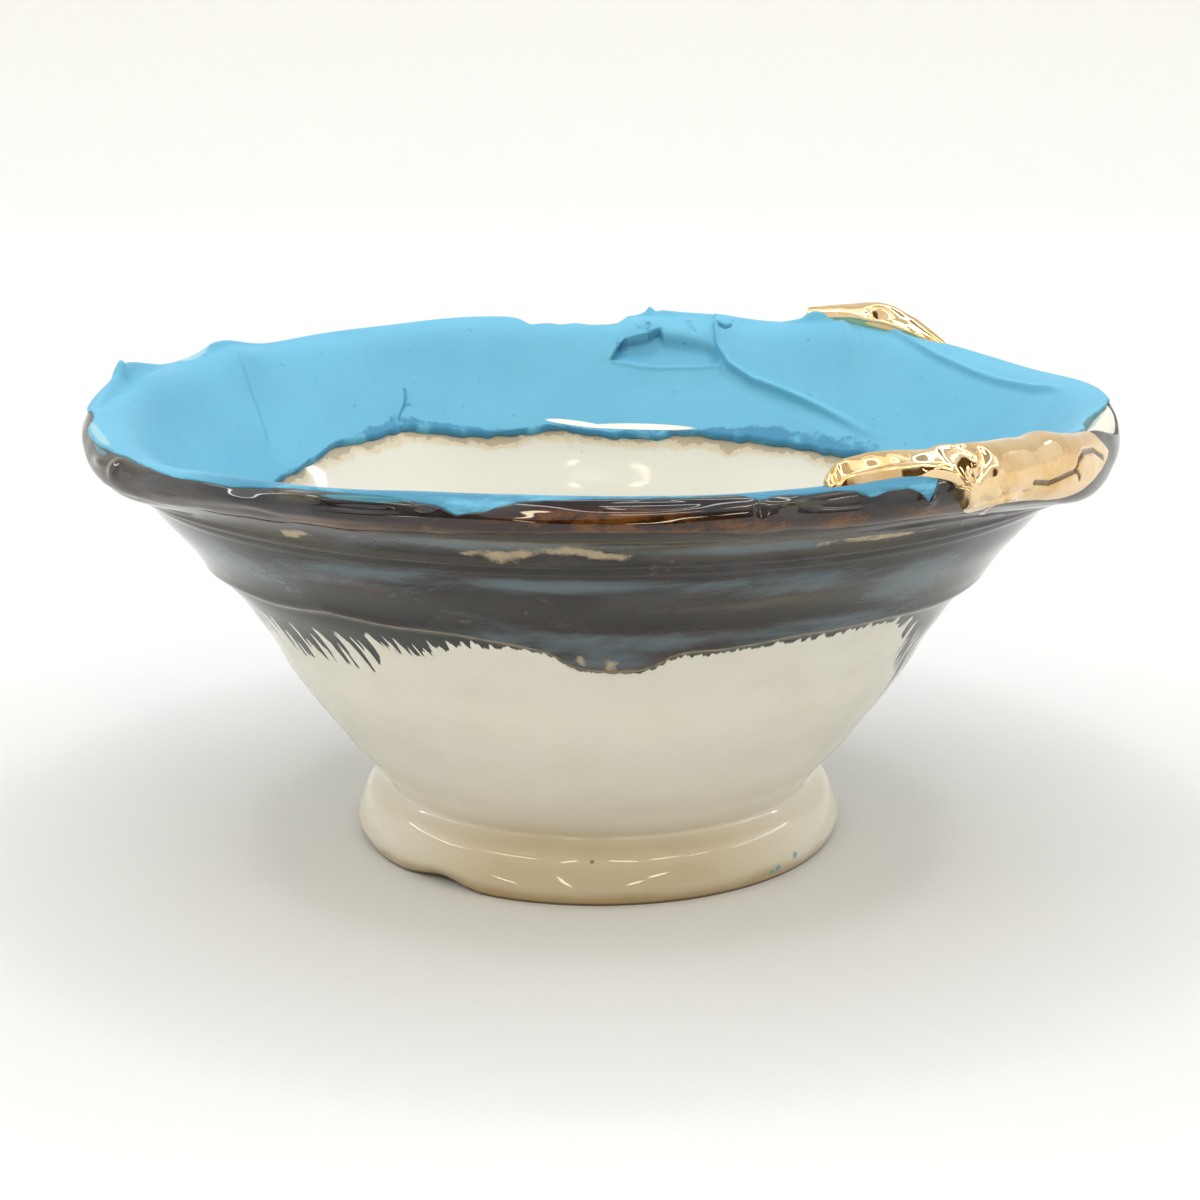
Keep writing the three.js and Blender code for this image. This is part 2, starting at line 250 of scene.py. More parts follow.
# The groove between the front gold's ridge and its sheet
GOLD_JOINT = ((309.0, 14.9), (309.4, 14.3), (308.6, 13.9), (306.8, 13.5))
# Fine lines and grooves in the front gold, the first three also carrying painted dark reflection lines, and
# its lumps and pits, as for the slip and the lip
GOLD_CUTS = (
    (((315.6, 13.1), (318.6, 12.98), (321.6, 13.14), (324.4, 13.24)), 0.5, 0.3),
    (((324.4, 13.24), (325.8, 12.98)), 0.5, 0.3),
    (((324.4, 13.24), (325.0, 13.44), (326.8, 13.6), (330.4, 13.58), (334.0, 13.3)), 0.5, 0.3),
    (((307.6, 12.9), (310, 12.6), (312.5, 12.9), (315.5, 12.7)), 0.8, 0.6),
    (((309.5, 13.4), (311, 13.0), (312.2, 12.5)), 0.6, 0.5),
)
GOLD_LUMPS = (
    (307.3, 14.05, 0.55, 0.1, 0.0, -2.0), (309.3, 13.5, 0.7, 0.3, 0.1, 0.8),
    (312.4, 12.6, 1.3, 0.35, 0.0, 0.6), (320.5, 14.1, 2.6, 0.45, 0.0, 0.5),
    (303.5, 14.45, 3.0, 0.12, 0.0, -0.7), (293.3, 14.3, 0.35, 0.2, 0.0, -1.6),
)

# Colours of the glazes, the slip, the gold and the floor
CREAM = (0.78, 0.76, 0.67)
CREAM_MOTTLE = (0.74, 0.715, 0.62)
POOL_CREAM = (0.67, 0.66, 0.585)
TAN = (0.50, 0.40, 0.25)
POOL_TAN = (0.64, 0.54, 0.36)
FRINGE_DARK = (0.019, 0.028, 0.023)
EDGE_TAN = (0.22, 0.155, 0.09)
BAND_BROWN = (0.017, 0.014, 0.014)
BAND_GREY = (0.042, 0.038, 0.038)
BAND_BLUE = (0.115, 0.162, 0.188)
BAND_OLIVE = (0.078, 0.068, 0.044)
BAND_PLUM = (0.080, 0.030, 0.027)
LIP_DARK = (0.014, 0.013, 0.014)
# Painted amber reflection low on the lip's front
LIP_AMBER_REFLECTION = (0.13, 0.046, 0.007)
LIP_UMBER = (0.022, 0.008, 0.004)
LEDGE_BLUE = (0.030, 0.20, 0.34)
# Foot colours: the tan partly thinner glaze and partly painted shade, the front colour painted shade
FOOT_TAN_AND_SHADE = (0.68, 0.65, 0.54)
FOOT_FRONT_SHADE = (0.57, 0.49, 0.345)
FOOT_EDGE = (0.42, 0.30, 0.13)
# Painted contact shadow along the sole's edge
SOLE_CONTACT_SHADOW = (0.09, 0.052, 0.022)
LIP_TEAL = (0.03, 0.20, 0.27)
LIP_OLIVE = (0.055, 0.050, 0.022)
SLIP_BLUE = (0.122, 0.435, 0.640)
SLIP_MOTTLE = (0.108, 0.405, 0.605)
SLIP_DEEP = (0.020, 0.185, 0.37)
SLIP_PALE_AND_HIGHLIGHT = (0.36, 0.60, 0.62)
SLIP_GREEN = (0.05, 0.13, 0.115)
GLEAM = (0.88, 0.87, 0.80)
GOLD = (0.88, 0.66, 0.38)
GOLD_DEEP = (0.74, 0.45, 0.17)
GAP_GREY = (0.09, 0.10, 0.10)
# Painted dark reflection lines in the gold
DARK_REFLECTION_BROWN = (0.10, 0.065, 0.035)
SPECK_BROWN = (0.13, 0.09, 0.04)
SPECK_BLUE = (0.08, 0.33, 0.50)
FLOOR_COLOUR = (0.700, 0.716, 0.722)
# Specks in the cream glaze: place and radius in millimetres
BROWN_SPECKS = (((-1.3, -55.0, 9.8), 0.42), ((-24.0, -75.5, 64.5), 0.9))
BLUE_SPECKS = (((44.3, -36.4, 4.1), 0.8), ((40.2, -40.7, 2.7), 0.8), ((38.7, -42.0, 2.2), 0.6))

# Studio: brightness of the surroundings by the sine of their height, and of the darker side in front
SKY_STEPS = (
    (0.0, 0.92), (0.5, 0.92), (0.548, 1.0), (0.558, 12.0), (0.574, 12.0), (0.584, 1.6), (0.815, 1.6),
    (0.849, 0.7), (0.918, 0.7), (0.928, 9.0), (0.944, 9.0), (0.954, 0.5), (1.0, 0.5),
)
SKY_TOP = 14.0
FRONT_TOP = 0.83
FRONT_BRIGHT = 0.85
OPENING_TOP = 0.50
OPENING_COLOUR = (0.10, 0.060, 0.030)
# The lamp above the backdrop: place and target in metres, size, power and tint
WASH_PLACE = (0.0, 0.9, 2.6)
WASH_TARGET = (0.0, 2.6, 0.9)
WASH_WIDTH = 3.0
WASH_DEPTH = 0.4
BACKDROP_POWER = 13.0
BACKDROP_TINT = (0.92, 0.97, 1.0)
# Small warm lamps round the camera: bearing from straight ahead, elevation, half-length, half-width and lean
# in degrees, and share of the full brightness
LAMPS = (
    (-42, 4, 9, 1.0, -35, 1.0), (-15, 11, 11, 1.1, -68, 1.0), (16, 10, 7, 1.0, 40, 1.0),
    (28, 19, 6, 1.0, 22, 1.0), (-48, 43, 12, 1.2, 5, 1.0), (-16, 44, 7, 1.6, 60, 1.0),
    (14, 46, 9, 1.4, -30, 1.0), (38, 45, 8, 1.3, 0, 1.0), (58, 41, 7, 1.0, 0, 1.0),
    (14, 65, 1.9, 0.7, 10, 0.5), (-24, 65, 3.0, 0.6, 0, 0.5),
)
LAMP_BRIGHT = 18.0
LAMP_TINT = (1.0, 0.84, 0.58)
# The floor in metres: how far it reaches in front, where its bend behind the bowl starts, radius of the bend,
# height of the backdrop and half its width
FLOOR_FRONT = -40.0
BEND_START = 1.6
BEND_RADIUS = 0.9
BACKDROP_HEIGHT = 4.0
BACKDROP_HALF_WIDTH = 4.0

# Camera, from the ellipses of the rim and the foot in the picture
CAMERA_BACK = 521.0
CAMERA_HEIGHT = 193.6
CAMERA_PITCH = 15.03
FOCAL_PIXELS = 2300.0
PICTURE_PIXELS = 1200.0
AXIS_SHIFT_PIXELS = 1.9


def turn(start, end):
    """The shortest way round from start to end in degrees, between -180 and 180."""
    return (end - start + 540.0) % 360.0 - 180.0


def bell(distance, spread):
    """exp(-(distance / spread) squared)."""
    return np.exp(-np.square(distance / spread))


def ease(share):
    """3s^2 - 2s^3 of a share s."""
    return share * share * (3.0 - 2.0 * share)


def smooth_step(low, high, value):
    """0 below low, 1 above high, and the eased share between them."""
    return ease(np.clip((value - low) / (high - low), 0.0, 1.0))


def rounding(share, reach):
    """The rise of a quarter circle towards both ends of 0 to 1, each reach wide: 0 at the ends, 1 between."""
    near = np.clip(np.minimum(share, 1.0 - share) / reach, 0.0, 1.0)
    return np.sqrt(near * (2.0 - near))


def wave_sum(waves, bearing):
    """Sum of rise times bell(turn from the wave's bearing, its spread)."""
    total = np.zeros_like(bearing)
    for place, spread, rise in waves:
        total += rise * bell(turn(place, bearing), spread)
    return total


def round_curve(places, bearing, blur=1.5):
    """Straight lines through (bearing, value) places, smoothed round the circle over blur degrees."""
    fine = np.arange(0.0, 360.0, 0.25)
    ordered = sorted((place % 360.0, value) for place, value in places)
    degrees = np.array([place for place, value in ordered])
    values = np.array([value for place, value in ordered])
    line = np.interp(fine, degrees, values, period=360.0)
    weights = bell(turn(0.0, fine), blur)
    blurred = np.real(np.fft.ifft(np.fft.fft(line) * np.fft.fft(weights))) / weights.sum()
    return np.interp(bearing, fine, blurred, period=360.0)


def ring_noise(bearing, across, cells, stretch, seed):
    """Smooth noise from -1 to 1: random values on a lattice of cells round the ring and 1 / stretch across,
    mixed with eased weights. It closes on itself after 360 degrees."""
    lanes = 64
    table = np.random.default_rng(seed).uniform(-1.0, 1.0, (cells, lanes))
    x = np.mod(bearing, 360.0) / 360.0 * cells
    y = across * stretch + 1000.0
    column, row = np.floor(x).astype(int), np.floor(y).astype(int)
    sx, sy = ease(x - column), ease(y - row)

    def knot(i, j):
        """The values i cells along and j across."""
        return table[(column + i) % cells, (row + j) % lanes]

    low = knot(0, 0) * (1 - sx) + knot(1, 0) * sx
    high = knot(0, 1) * (1 - sx) + knot(1, 1) * sx
    return low * (1 - sy) + high * sy


def wall_stations(bearing):
    """Radius and height of the section's stations at each bearing, as an array of station, axis, bearing:
    outside from the sole up, over the lip, then the outside moved in by the wall, down to the floor."""
    place, spread, lift, inset = FINGER_MARK
    mark = bell(turn(place, bearing), spread)
    one = np.ones_like(bearing)
    outside = [
        (FOOT_RADIUS - FOOT_EDGE_ROUND - inset * mark, lift * mark),
        (FOOT_RADIUS * one, FOOT_BULGE_Z + 0.5 * lift * mark),
        (FOOT_SHOULDER_RADIUS * one, FOOT_SHOULDER_Z * one),
        (WAIST_RADIUS * one, WAIST_Z * one),
        (HEEL_RADIUS * one, HEEL_Z * one),
        (FLANK_RADIUS * one, FLANK_Z * one),
        (BELLY_RADIUS * one, BELLY_Z * one),
        (GIRDLE_RADIUS * one, GIRDLE_Z * one),
        (SHOULDER_RADIUS * one, SHOULDER_Z * one),
        (COLLAR_RADIUS * one, COLLAR_Z * one),
        (NECK_RADIUS * one, NECK_Z * one),
    ]
    top = CREST_Z + wave_sum(CREST_WAVES, bearing)
    low = LIP_Z + wave_sum(LIP_DROPS, bearing)
    pull = wave_sum(LIP_PULLS, bearing)
    out = LIP_RADIUS + pull
    lip = [
        (NECK_RADIUS + UNDERCUT_REACH * (out - LIP_ROUND - NECK_RADIUS),
         NECK_Z + UNDERCUT_RISE * (low - NECK_Z)),
        (out - LIP_ROUND, low),
        (out, low + 0.42 * (top - low)),
        (CREST_RADIUS + pull, top),
        (LIP_INNER_RADIUS + pull, top - LIP_INNER_DROP),
    ]
    inside = []
    for i in range(len(outside) - 1, 4, -1):
        (low_r, low_z), (high_r, high_z) = outside[i - 1], outside[min(i + 1, len(outside) - 1)]
        length = np.hypot(high_r - low_r, high_z - low_z)
        radius, height = outside[i]
        inside.append((radius - WALL_THICKNESS * (high_z - low_z) / length,
                       height + WALL_THICKNESS * (high_r - low_r) / length))
    inside.append((FLOOR_RADIUS * one, (FLOOR_Z + 0.12 * FLOOR_THICKNESS) * one))
    inside.append((FLOOR_RADIUS / 3 * one, FLOOR_Z * one))
    return np.array([[radius, height] for radius, height in outside + lip + inside])


def section(bearing, t):
    """Radius, height and outward normal at t stations along each bearing's section: the cubic between
    two stations whose end slopes are half the chord between their neighbours."""
    stations = wall_stations(bearing)
    last = len(stations) - 1
    i = np.clip(np.floor(t).astype(int), 0, last - 1)
    w = t - i
    n = np.arange(bearing.size)[None, :] if t.ndim == 2 else np.arange(bearing.size)
    p0 = stations[np.maximum(i - 1, 0), :, n]
    p1 = stations[i, :, n]
    p2 = stations[i + 1, :, n]
    p3 = stations[np.minimum(i + 2, last), :, n]
    v0, v1, w = (p2 - p0) / 2, (p3 - p1) / 2, w[..., None]
    a = 2 * p1 - 2 * p2 + v0 + v1
    b = -3 * p1 + 3 * p2 - 2 * v0 - v1
    point = ((a * w + b) * w + v0) * w + p1
    slope = (3 * a * w + 2 * b) * w + v0
    slope /= np.maximum(np.linalg.norm(slope, axis=-1, keepdims=True), 1e-9)
    return point[..., 0], point[..., 1], slope[..., 1], -slope[..., 0]


def place(bearing, radius, height):
    """Points in metres at a bearing, radius and height in millimetres."""
    angle = np.radians(bearing)
    return np.stack([radius * np.cos(angle), radius * np.sin(angle), height], axis=-1) * MM


def spaced(*stretches):
    """Bearings of one stretch after another of (start, end, step), each without its end."""
    return np.concatenate([np.arange(start, end, step) for start, end, step in stretches])


def along_section(t):
    """Millimetres along the section at bearing 0 from the crest to t, positive down the inside."""
    fine = np.linspace(CREST_T - 5, LAST_T, 500)
    radius, height, _, _ = section(np.array([0.0]), fine[:, None])
    length = np.concatenate([[0.0], np.cumsum(np.hypot(np.diff(radius[:, 0]), np.diff(height[:, 0])))])
    return np.interp(t, fine, length - np.interp(CREST_T, fine, length))


def stroke(bearing, t, path):
    """How near each point lies to a path of (bearing, t) corners: the distance in millimetres, positive on
    the side that is left of the path in a plan of bearing across and t downwards, and the share covered."""
    corner_x = np.array([corner[0] for corner in path], float)
    corner_y = -along_section(np.array([corner[1] for corner in path], float))
    y_all = -along_section(t)
    best = np.full(bearing.shape, 1e9)
    signed, share = np.zeros(bearing.shape), np.zeros(bearing.shape)
    dx = turn(corner_x[:-1], corner_x[1:]) * MM_PER_DEGREE
    dy = np.diff(corner_y)
    length = np.hypot(dx, dy)
    done = np.concatenate([[0.0], np.cumsum(length)]) / length.sum()
    for k in range(len(length)):
        x, y = turn(corner_x[k], bearing) * MM_PER_DEGREE, y_all - corner_y[k]
        s = np.clip((x * dx[k] + y * dy[k]) / length[k] ** 2, 0.0, 1.0)
        far = np.hypot(x - s * dx[k], y - s * dy[k])
        nearer = far < best
        best = np.where(nearer, far, best)
        signed = np.where(nearer, far * np.sign(dx[k] * y - dy[k] * x), signed)
        share = np.where(nearer, done[k] + s * (done[k + 1] - done[k]), share)
    return signed, share


def patches(bearing, t, places):
    """The highest of several soft ovals of (bearing, t, half-width in degrees, half-height in stations,
    lean in stations per degree): 1 in the middle, 0.5 on the outline, falling outside."""
    best = np.zeros(np.broadcast(bearing, t).shape)
    for place, level, wide, tall, lean in places:
        across = turn(place, bearing)
        far = np.square(across / wide) + np.square((t - level - lean * across) / tall)
        best = np.maximum(best, 1.0 / (1.0 + far * far))
    return best


def lumps(bearing, t, places):
    """Sum of rise times exp(-far squared), with far counted in half-widths and half-heights of each place."""
    total = np.zeros(np.broadcast(bearing, t).shape)
    for place, level, wide, tall, lean, rise in places:
        across = turn(place, bearing)
        total += rise * np.exp(-np.square(across / wide) - np.square((t - level - lean * across) / tall))
    return total


def grid_faces(rows, columns, wrap_rows, wrap_columns):
    """Corners of the four-sided faces of a grid stored row by row, each turned so that its normal points
    along row direction times column direction."""
    i, j = np.meshgrid(np.arange(rows if wrap_rows else rows - 1),
                       np.arange(columns if wrap_columns else columns - 1), indexing="ij")
    below, right = (i + 1) % rows, (j + 1) % columns
    return np.stack([i * columns + j, below * columns + j, below * columns + right, i * columns + right],
                    axis=-1).reshape(-1, 4)


def make_mesh(name, points, quads, triangles=(), attributes=None):
    """A smooth-shaded mesh object from arrays of points, four-sided and three-sided faces, with one
    number per point for each named attribute."""
    mesh = bpy.data.meshes.new(name)
    triangles = np.array(triangles, int).reshape(-1, 3)
    loops = np.concatenate([quads.reshape(-1), triangles.reshape(-1)])
    sizes = np.concatenate([np.full(len(quads), 4), np.full(len(triangles), 3)])
    mesh.vertices.add(len(points))
    mesh.vertices.foreach_set("co", points.astype(np.float32).reshape(-1))
    mesh.loops.add(len(loops))
    mesh.loops.foreach_set("vertex_index", loops.astype(np.int32))
    mesh.polygons.add(len(sizes))
    mesh.polygons.foreach_set("loop_start", np.concatenate([[0], np.cumsum(sizes)[:-1]]).astype(np.int32))
    mesh.polygons.foreach_set("use_smooth", np.ones(len(sizes), bool))
    for key, values in (attributes or {}).items():
        layer = mesh.attributes.new(key, "FLOAT", "POINT")
        layer.data.foreach_set("value", np.asarray(values, np.float32).reshape(-1))
    mesh.update(calc_edges=True)
    mesh.validate()
    piece = bpy.data.objects.new(name, mesh)
    bpy.context.scene.collection.objects.link(piece)
    return piece


def body_relief(bearing, t, height):
    """Thickness in millimetres that glaze and hand marks add to the wall outside: turning lines at the
    neck, the step and rolled edge of the dark glaze, its sag, and slow waves."""
    outer = t < CREST_T
    above = height - round_curve(GLAZE_EDGE, bearing, 0.6)
    rolled = 0.55 * smooth_step(-0.5, 0.9, above) + 0.35 * bell(above - 0.9, 1.1)
    relief = np.where(outer & (t > 3), rolled, 0.0)
    relief += np.where(outer, 0.9 * bell(turn(272.5, bearing), 5.5) * bell(above - 3.2, 3.6), 0.0)
    relief += np.where(outer, 0.5 * bell(height - 89.0, 0.5) + 0.34 * bell(height - 87.3, 0.4), 0.0)
    relief += np.where(outer & (t > 4), 0.25 * ring_noise(bearing * 0 + 3, height, 8, 0.16, 5), 0.0)
    relief += np.where(t > 4, 0.10 * ring_noise(bearing, height, 26, 0.08, 6), 0.0)
    relief -= np.where(t < 4, 0.45 * bell(height - WAIST_Z - 0.3, 0.6), 0.0)
    return relief * smooth_step(LIP_LOW_T + 0.6, LIP_LOW_T - 0.4, t) + np.where(outer, 0.0, relief) * 0.5


def padded(values, low, high):
    """A row of all values, then one for the lower pole and one for the upper."""
    return np.concatenate([values.reshape(-1), [low, high]])


def bowl_body(columns=480):
    """The fired body: rows of points run from the middle of the recess, over sole, wall and lip, to the
    floor's middle; each point is the section's point moved along its normal by body_relief."""
    bearing = np.arange(columns) * 360.0 / columns
    t = np.concatenate([
        np.linspace(0, 4, 37)[:-1], np.linspace(4, 8, 30)[:-1], np.linspace(8, 12, 46)[:-1],
        np.linspace(12, 15, 34)[:-1], np.linspace(15, 18, 30)[:-1], np.linspace(18, LAST_T, 24),
    ])[:, None] * np.ones(columns)
    radius, height, out_r, out_z = section(bearing, t)
    ring = np.broadcast_to(bearing, t.shape)
    relief = body_relief(ring, t, height)
    radius, height = radius + out_r * relief, height + out_z * relief
    one = np.ones((1, columns))
    below_r = np.concatenate([one * (RECESS_RADIUS - RECESS_SLOPE), one * RECESS_RADIUS])
    below_z = np.concatenate([one * RECESS_DEPTH, one * 0.0])
    radius = np.concatenate([below_r, radius])
    height = np.concatenate([below_z, np.maximum(height, 0.0)])
    t = np.concatenate([one * -2, one * -1, t])
    ring = np.broadcast_to(bearing, t.shape)
    points = place(ring, radius, height).reshape(-1, 3)
    rows = len(t)
    quads = grid_faces(rows, columns, False, True)[:, ::-1]
    low_pole, high_pole = len(points), len(points) + 1
    points = np.vstack([points, [[0, 0, RECESS_DEPTH * MM], [0, 0, FLOOR_Z * MM]]])
    here = np.arange(columns)
    there = (here + 1) % columns
    last = (rows - 1) * columns
    triangles = np.concatenate([
        np.stack([np.full(columns, low_pole), there, here], axis=-1),
        np.stack([last + here, last + there, np.full(columns, high_pole)], axis=-1),
    ])
    above = height - round_curve(GLAZE_EDGE, ring, 0.6)
    fringe = round_curve(FRINGE, ring, 0.8)
    stain = round_curve(SLIP_LOW, ring, 0.8) - height
    attributes = {
        "section_place": padded(t, -2, LAST_T),
        "above_edge": padded(above, -60, -60),
        "fringe": padded(fringe, 1, 1),
        "below_slip": padded(stain, 60, 60),
        "dark_until": padded(round_curve(LIP_GLAZE_HIGH, ring, 0.5), 14, 14),
        "tan": padded(patches(ring, t, TAN_PLACES), 0, 0),
        "bloom": padded(patches(ring, t, BLOOM_AND_SHEEN_PLACES), 0, 0),
        "streak_place": padded(ring / 1.15 + above * 0.11, 0, 0),
    }
    return make_mesh("body", points, quads, triangles, attributes)


def coated_strip(name, bearing, t_first, t_last, thickness, paint, rows, closed=True, under_rows=9):
    """A skin laid over the section from t_first to t_last at each bearing. Its upper rows stand off the
    wall by thickness(bearing, t, height, share); its under rows return just inside the body, so that it is
    one closed shell whose edges dive into the body. paint(bearing, t, height) gives its attributes."""
    share = np.linspace(0.0, 1.0, rows)[:, None]
    back = np.linspace(1.0, 0.0, under_rows + 2)[1:-1][:, None]
    t_top = t_first + (t_last - t_first) * share
    t_under = t_first + (t_last - t_first) * back
    t = np.concatenate([t_top, t_under])
    radius, height, out_r, out_z = section(bearing, t)
    ring = np.broadcast_to(bearing, t.shape)
    stand = np.full(t.shape, -TUCK)
    stand[:rows] = thickness(ring[:rows], t[:rows], height[:rows], np.broadcast_to(share, t_top.shape))
    points = place(ring, radius + out_r * stand, height + out_z * stand).reshape(-1, 3)
    count, columns = t.shape
    quads = grid_faces(count, columns, True, closed)[:, ::-1]
    triangles = []
    if not closed:
        caps = []
        for column, flip in ((0, False), (columns - 1, True)):
            loop = np.arange(count) * columns + column
            centre = len(points)
            points = np.vstack([points, points[loop].mean(axis=0)])
            following = np.roll(loop, -1)
            fan = np.stack([np.full(count, centre), loop, following], axis=-1)
            caps.append(fan[:, ::-1] if flip else fan)
        triangles = np.concatenate(caps)
    extra = len(points) - t.size
    attributes = {key: np.concatenate([values.reshape(-1), np.zeros(extra)])
                  for key, values in paint(ring, t, height).items()}
    return make_mesh(name, points, quads, triangles, attributes)


def scoop_edges(bearing):
    """Millimetres below the crest of the scoop's upper and lower edge, and 1 between its two sides."""
    top = along_section(round_curve(SCOOP_TOP, bearing, 0.25))
    low = along_section(round_curve(SCOOP_LOW, bearing, 0.4))
    return top, low, smooth_step(*SCOOP_RIGHT, bearing) * smooth_step(*SCOOP_LEFT, bearing)


def scoop_relief(bearing, across):
    """The scoop: a tilted facet cut in under a torn, overhanging edge, with a steep wall on its right."""
    top, low, within = scoop_edges(bearing)
    torn = smooth_step(80.0, 81.4, bearing)
    step = smooth_step(top - 0.25 - 0.8 * (1 - torn), top + 0.2 + 2.6 * (1 - torn), across)
    tilt = np.clip((low - across) / np.maximum(low - top, 0.5), 0.0, 1.0) ** 0.75
    relief = -(2.0 + 0.5 * torn) * within * step * tilt
    relief += 1.7 * bell(turn(83.6, bearing), 3.2) * smooth_step(0.5, 9.0, across) * (1 - step)
    relief += 0.8 * bell(turn(77.0, bearing), 4.5) * bell(across - top + 2.0, 2.4) * (1 - step)
    relief += 0.35 * within * bell(across - low - 0.2, 0.5)
    wall = bell(turn(71.0, bearing), 0.5) * bell(across - (top + low) / 2, 3.0)
    return relief + 0.5 * wall


def scoop_facet_share(bearing, t):
    """1 on the scoop's facet, which is given a deeper blue."""
    across = along_section(t)
    top, low, within = scoop_edges(bearing)
    return within * smooth_step(top - 0.3, top + 0.6, across) * smooth_step(low + 0.6, low - 1.5, across)


def slip_relief(bearing, t):
    """Marks of the palette knife in the slip, in millimetres: broad facets, the scrape on the left, the
    scoop under its torn roof, the scar with its lit crest, the crack and the folds by the rim."""
    across = along_section(t)
    relief = 0.35 * ring_noise(bearing, across, 22, 0.05, 21)
    relief += 0.12 * ring_noise(bearing, across, 60, 0.12, 22)
    far, share = stroke(bearing, t, SCRAPE)
    held = smooth_step(0, 0.15, share) * smooth_step(1, 0.8, share)
    relief += 0.5 * np.tanh(far / 0.6) * bell(far, 6.0) * held
    relief -= 0.35 * bell(far + 0.8, 0.5) * bell(share - 0.6, 0.25)
    far, share = stroke(bearing, t, SCAR)
    fade = smooth_step(1.0, 0.35, share)
    ridge = 1.3 * bell(far, 0.6 + 0.5 * share)
    relief += fade * (ridge + 0.9 * smooth_step(0.9, -0.4, far) * bell(np.minimum(far, 0.0), 9.0))
    relief -= fade * 0.55 * bell(far - 2.0, 1.6)
    relief += scoop_relief(bearing, across)
    for path, depth, wide in SLIP_CUTS:
        relief -= depth * bell(stroke(bearing, t, path)[0], wide)
    for path, rise, wide, fade_from in SLIP_FOLDS:
        far, share = stroke(bearing, t, path)
        held = smooth_step(1.0, fade_from, share)
        raised = smooth_step(0.6, -0.6, far) * bell(np.minimum(far, 0.0), wide)
        relief += held * rise * (bell(far, 0.9) + 0.7 * raised)
    return relief


def slip_thickness(bearing, t, height, share):
    """Rounded edges on a coat of SLIP_THICKNESS with slip_relief on it, thinning over the crest, where the
    slip's upright edge stands."""
    at_crest = 0.55 - 0.3 * smooth_step(200, 215, bearing % 360) * smooth_step(318, 305, bearing % 360)
    body = SLIP_THICKNESS * (at_crest + (1 - at_crest) * smooth_step(CREST_T, LIP_IN_T, t))
    full = body + slip_relief(bearing, t) * smooth_step(CREST_T - 0.2, CREST_T + 0.6, t)
    fin = round_curve(SLIP_FIN, bearing, 0.22) * bell(t - CREST_T - 0.12, 0.17)
    return -TUCK + (np.maximum(full, 0.3) + fin + TUCK) * rounding(share, 1.3 / 34.0)


def height_to_station(height):
    """The place along the section inside the bowl where the wall has that height."""
    t = np.linspace(LIP_IN_T, 20.0, 200)[:, None]
    _, level, _, _ = section(np.array([0.0]), t)
    return np.interp(-height, -level[:, 0], t[:, 0])


def slip_paint(bearing, t, height):
    """Numbers for the slip's colours: millimetres above its lower edge in units of the border's width, the
    painted reflection strip, painted shade in cracks and under the torn roof, and the thin pale and green
    edges at the lip, the pale partly a painted highlight."""
    low = round_curve(SLIP_LOW, bearing, 0.5)
    border = (height - low) * 1.15 / round_curve(SLIP_BORDER, bearing, 0.6)
    # Painted shade in the crack, one cut and under the scoop's torn roof.
    cut_shade = np.zeros(t.shape)
    for path, depth, wide in SLIP_CUTS[:2] + SLIP_CUTS[3:4]:
        cut_shade = np.maximum(cut_shade, bell(stroke(bearing, t, path)[0], wide * 1.1))
    torn = bell(stroke(bearing, t, SCOOP_ROOF)[0] + 0.3, 0.45)
    in_front = smooth_step(222, 236, bearing) * smooth_step(312, 300, bearing)
    return {
        "border": border,
        "gleam": patches(bearing, t, GLEAM_PLACES),
        "cut": np.maximum(cut_shade, 0.8 * torn),
        "pale": patches(bearing, t, PALE_AND_HIGHLIGHT_PLACES),
        "outward": CREST_T - round_curve(SLIP_OUT, bearing, 0.25) - t,
        "ledge": in_front * smooth_step(14.75, 14.3, t),
        "scoop_facet": scoop_facet_share(bearing, t),
        "ragged": patches(bearing, t, RUFFLE_PLACES),
    }


def blue_slip():
    """The slip coat: a closed shell round the inside, between its ragged lower and outer edges."""
    bearing = spaced((-8, 64, 0.5), (64, 90, 0.2), (90, 117, 0.4), (117, 128, 0.22), (128, 195, 0.42),
                     (195, 352, 0.7))
    low = round_curve(SLIP_LOW, bearing, 0.5)
    low += 0.5 * ring_noise(bearing, bearing * 0, 90, 1, 31)
    low += 0.35 * ring_noise(bearing, bearing * 0, 240, 1, 33)
    out = CREST_T - round_curve(SLIP_OUT, bearing, 0.25)
    out += 0.05 * ring_noise(bearing, bearing * 0, 170, 1, 32)
    return coated_strip("slip", bearing, out, height_to_station(low), slip_thickness, slip_paint, rows=112)


def lip_thickness(bearing, t, height, share):
    """The thick glaze of the lip: a rolled lower edge, slow waves, and the lumps of LIP_LUMPS."""
    low = round_curve(LIP_GLAZE_LOW, bearing, 0.5)
    full = 0.45 + 0.35 * bell(t - low - 0.45, 0.4) + 0.22 * ring_noise(bearing, t, 40, 0.9, 7)
    full += 0.10 * ring_noise(bearing, t, 110, 1.7, 8) + lumps(bearing, t, LIP_LUMPS)
    return -TUCK + (np.maximum(full, 0.12) + TUCK) * rounding(share, 1.2 / 22.0)


def lip_paint(bearing, t, height):
    """Numbers for the lip's colours: stations above its lower edge, teal, olive and cream places, and the
    front, where the painted amber reflection goes.
    """
    return {
        "up": t - round_curve(LIP_GLAZE_LOW, bearing, 0.5),
        "teal": patches(bearing, t, TEAL_PLACES),
        "olive": patches(bearing, t, OLIVE_PLACES),
        "cream": patches(bearing, t, CREAM_PLACES),
        "amber": smooth_step(228, 242, bearing) * smooth_step(322, 308, bearing),
    }


def lip_glaze():
    """The glassy glaze gathered on the lip, as a closed shell up to the crest or to the slip's edge."""
    bearing = spaced((190, 345, 0.24), (345, 550, 0.9))
    low = round_curve(LIP_GLAZE_LOW, bearing, 0.5) + 0.05 * ring_noise(bearing, bearing * 0, 120, 1, 35)
    slip_edge = CREST_T + 0.14 - round_curve(SLIP_OUT, bearing, 0.25)
    high = np.minimum(round_curve(LIP_GLAZE_HIGH, bearing, 0.4), slip_edge)
    return coated_strip("lip_glaze", bearing, low, high, lip_thickness, lip_paint, rows=76)


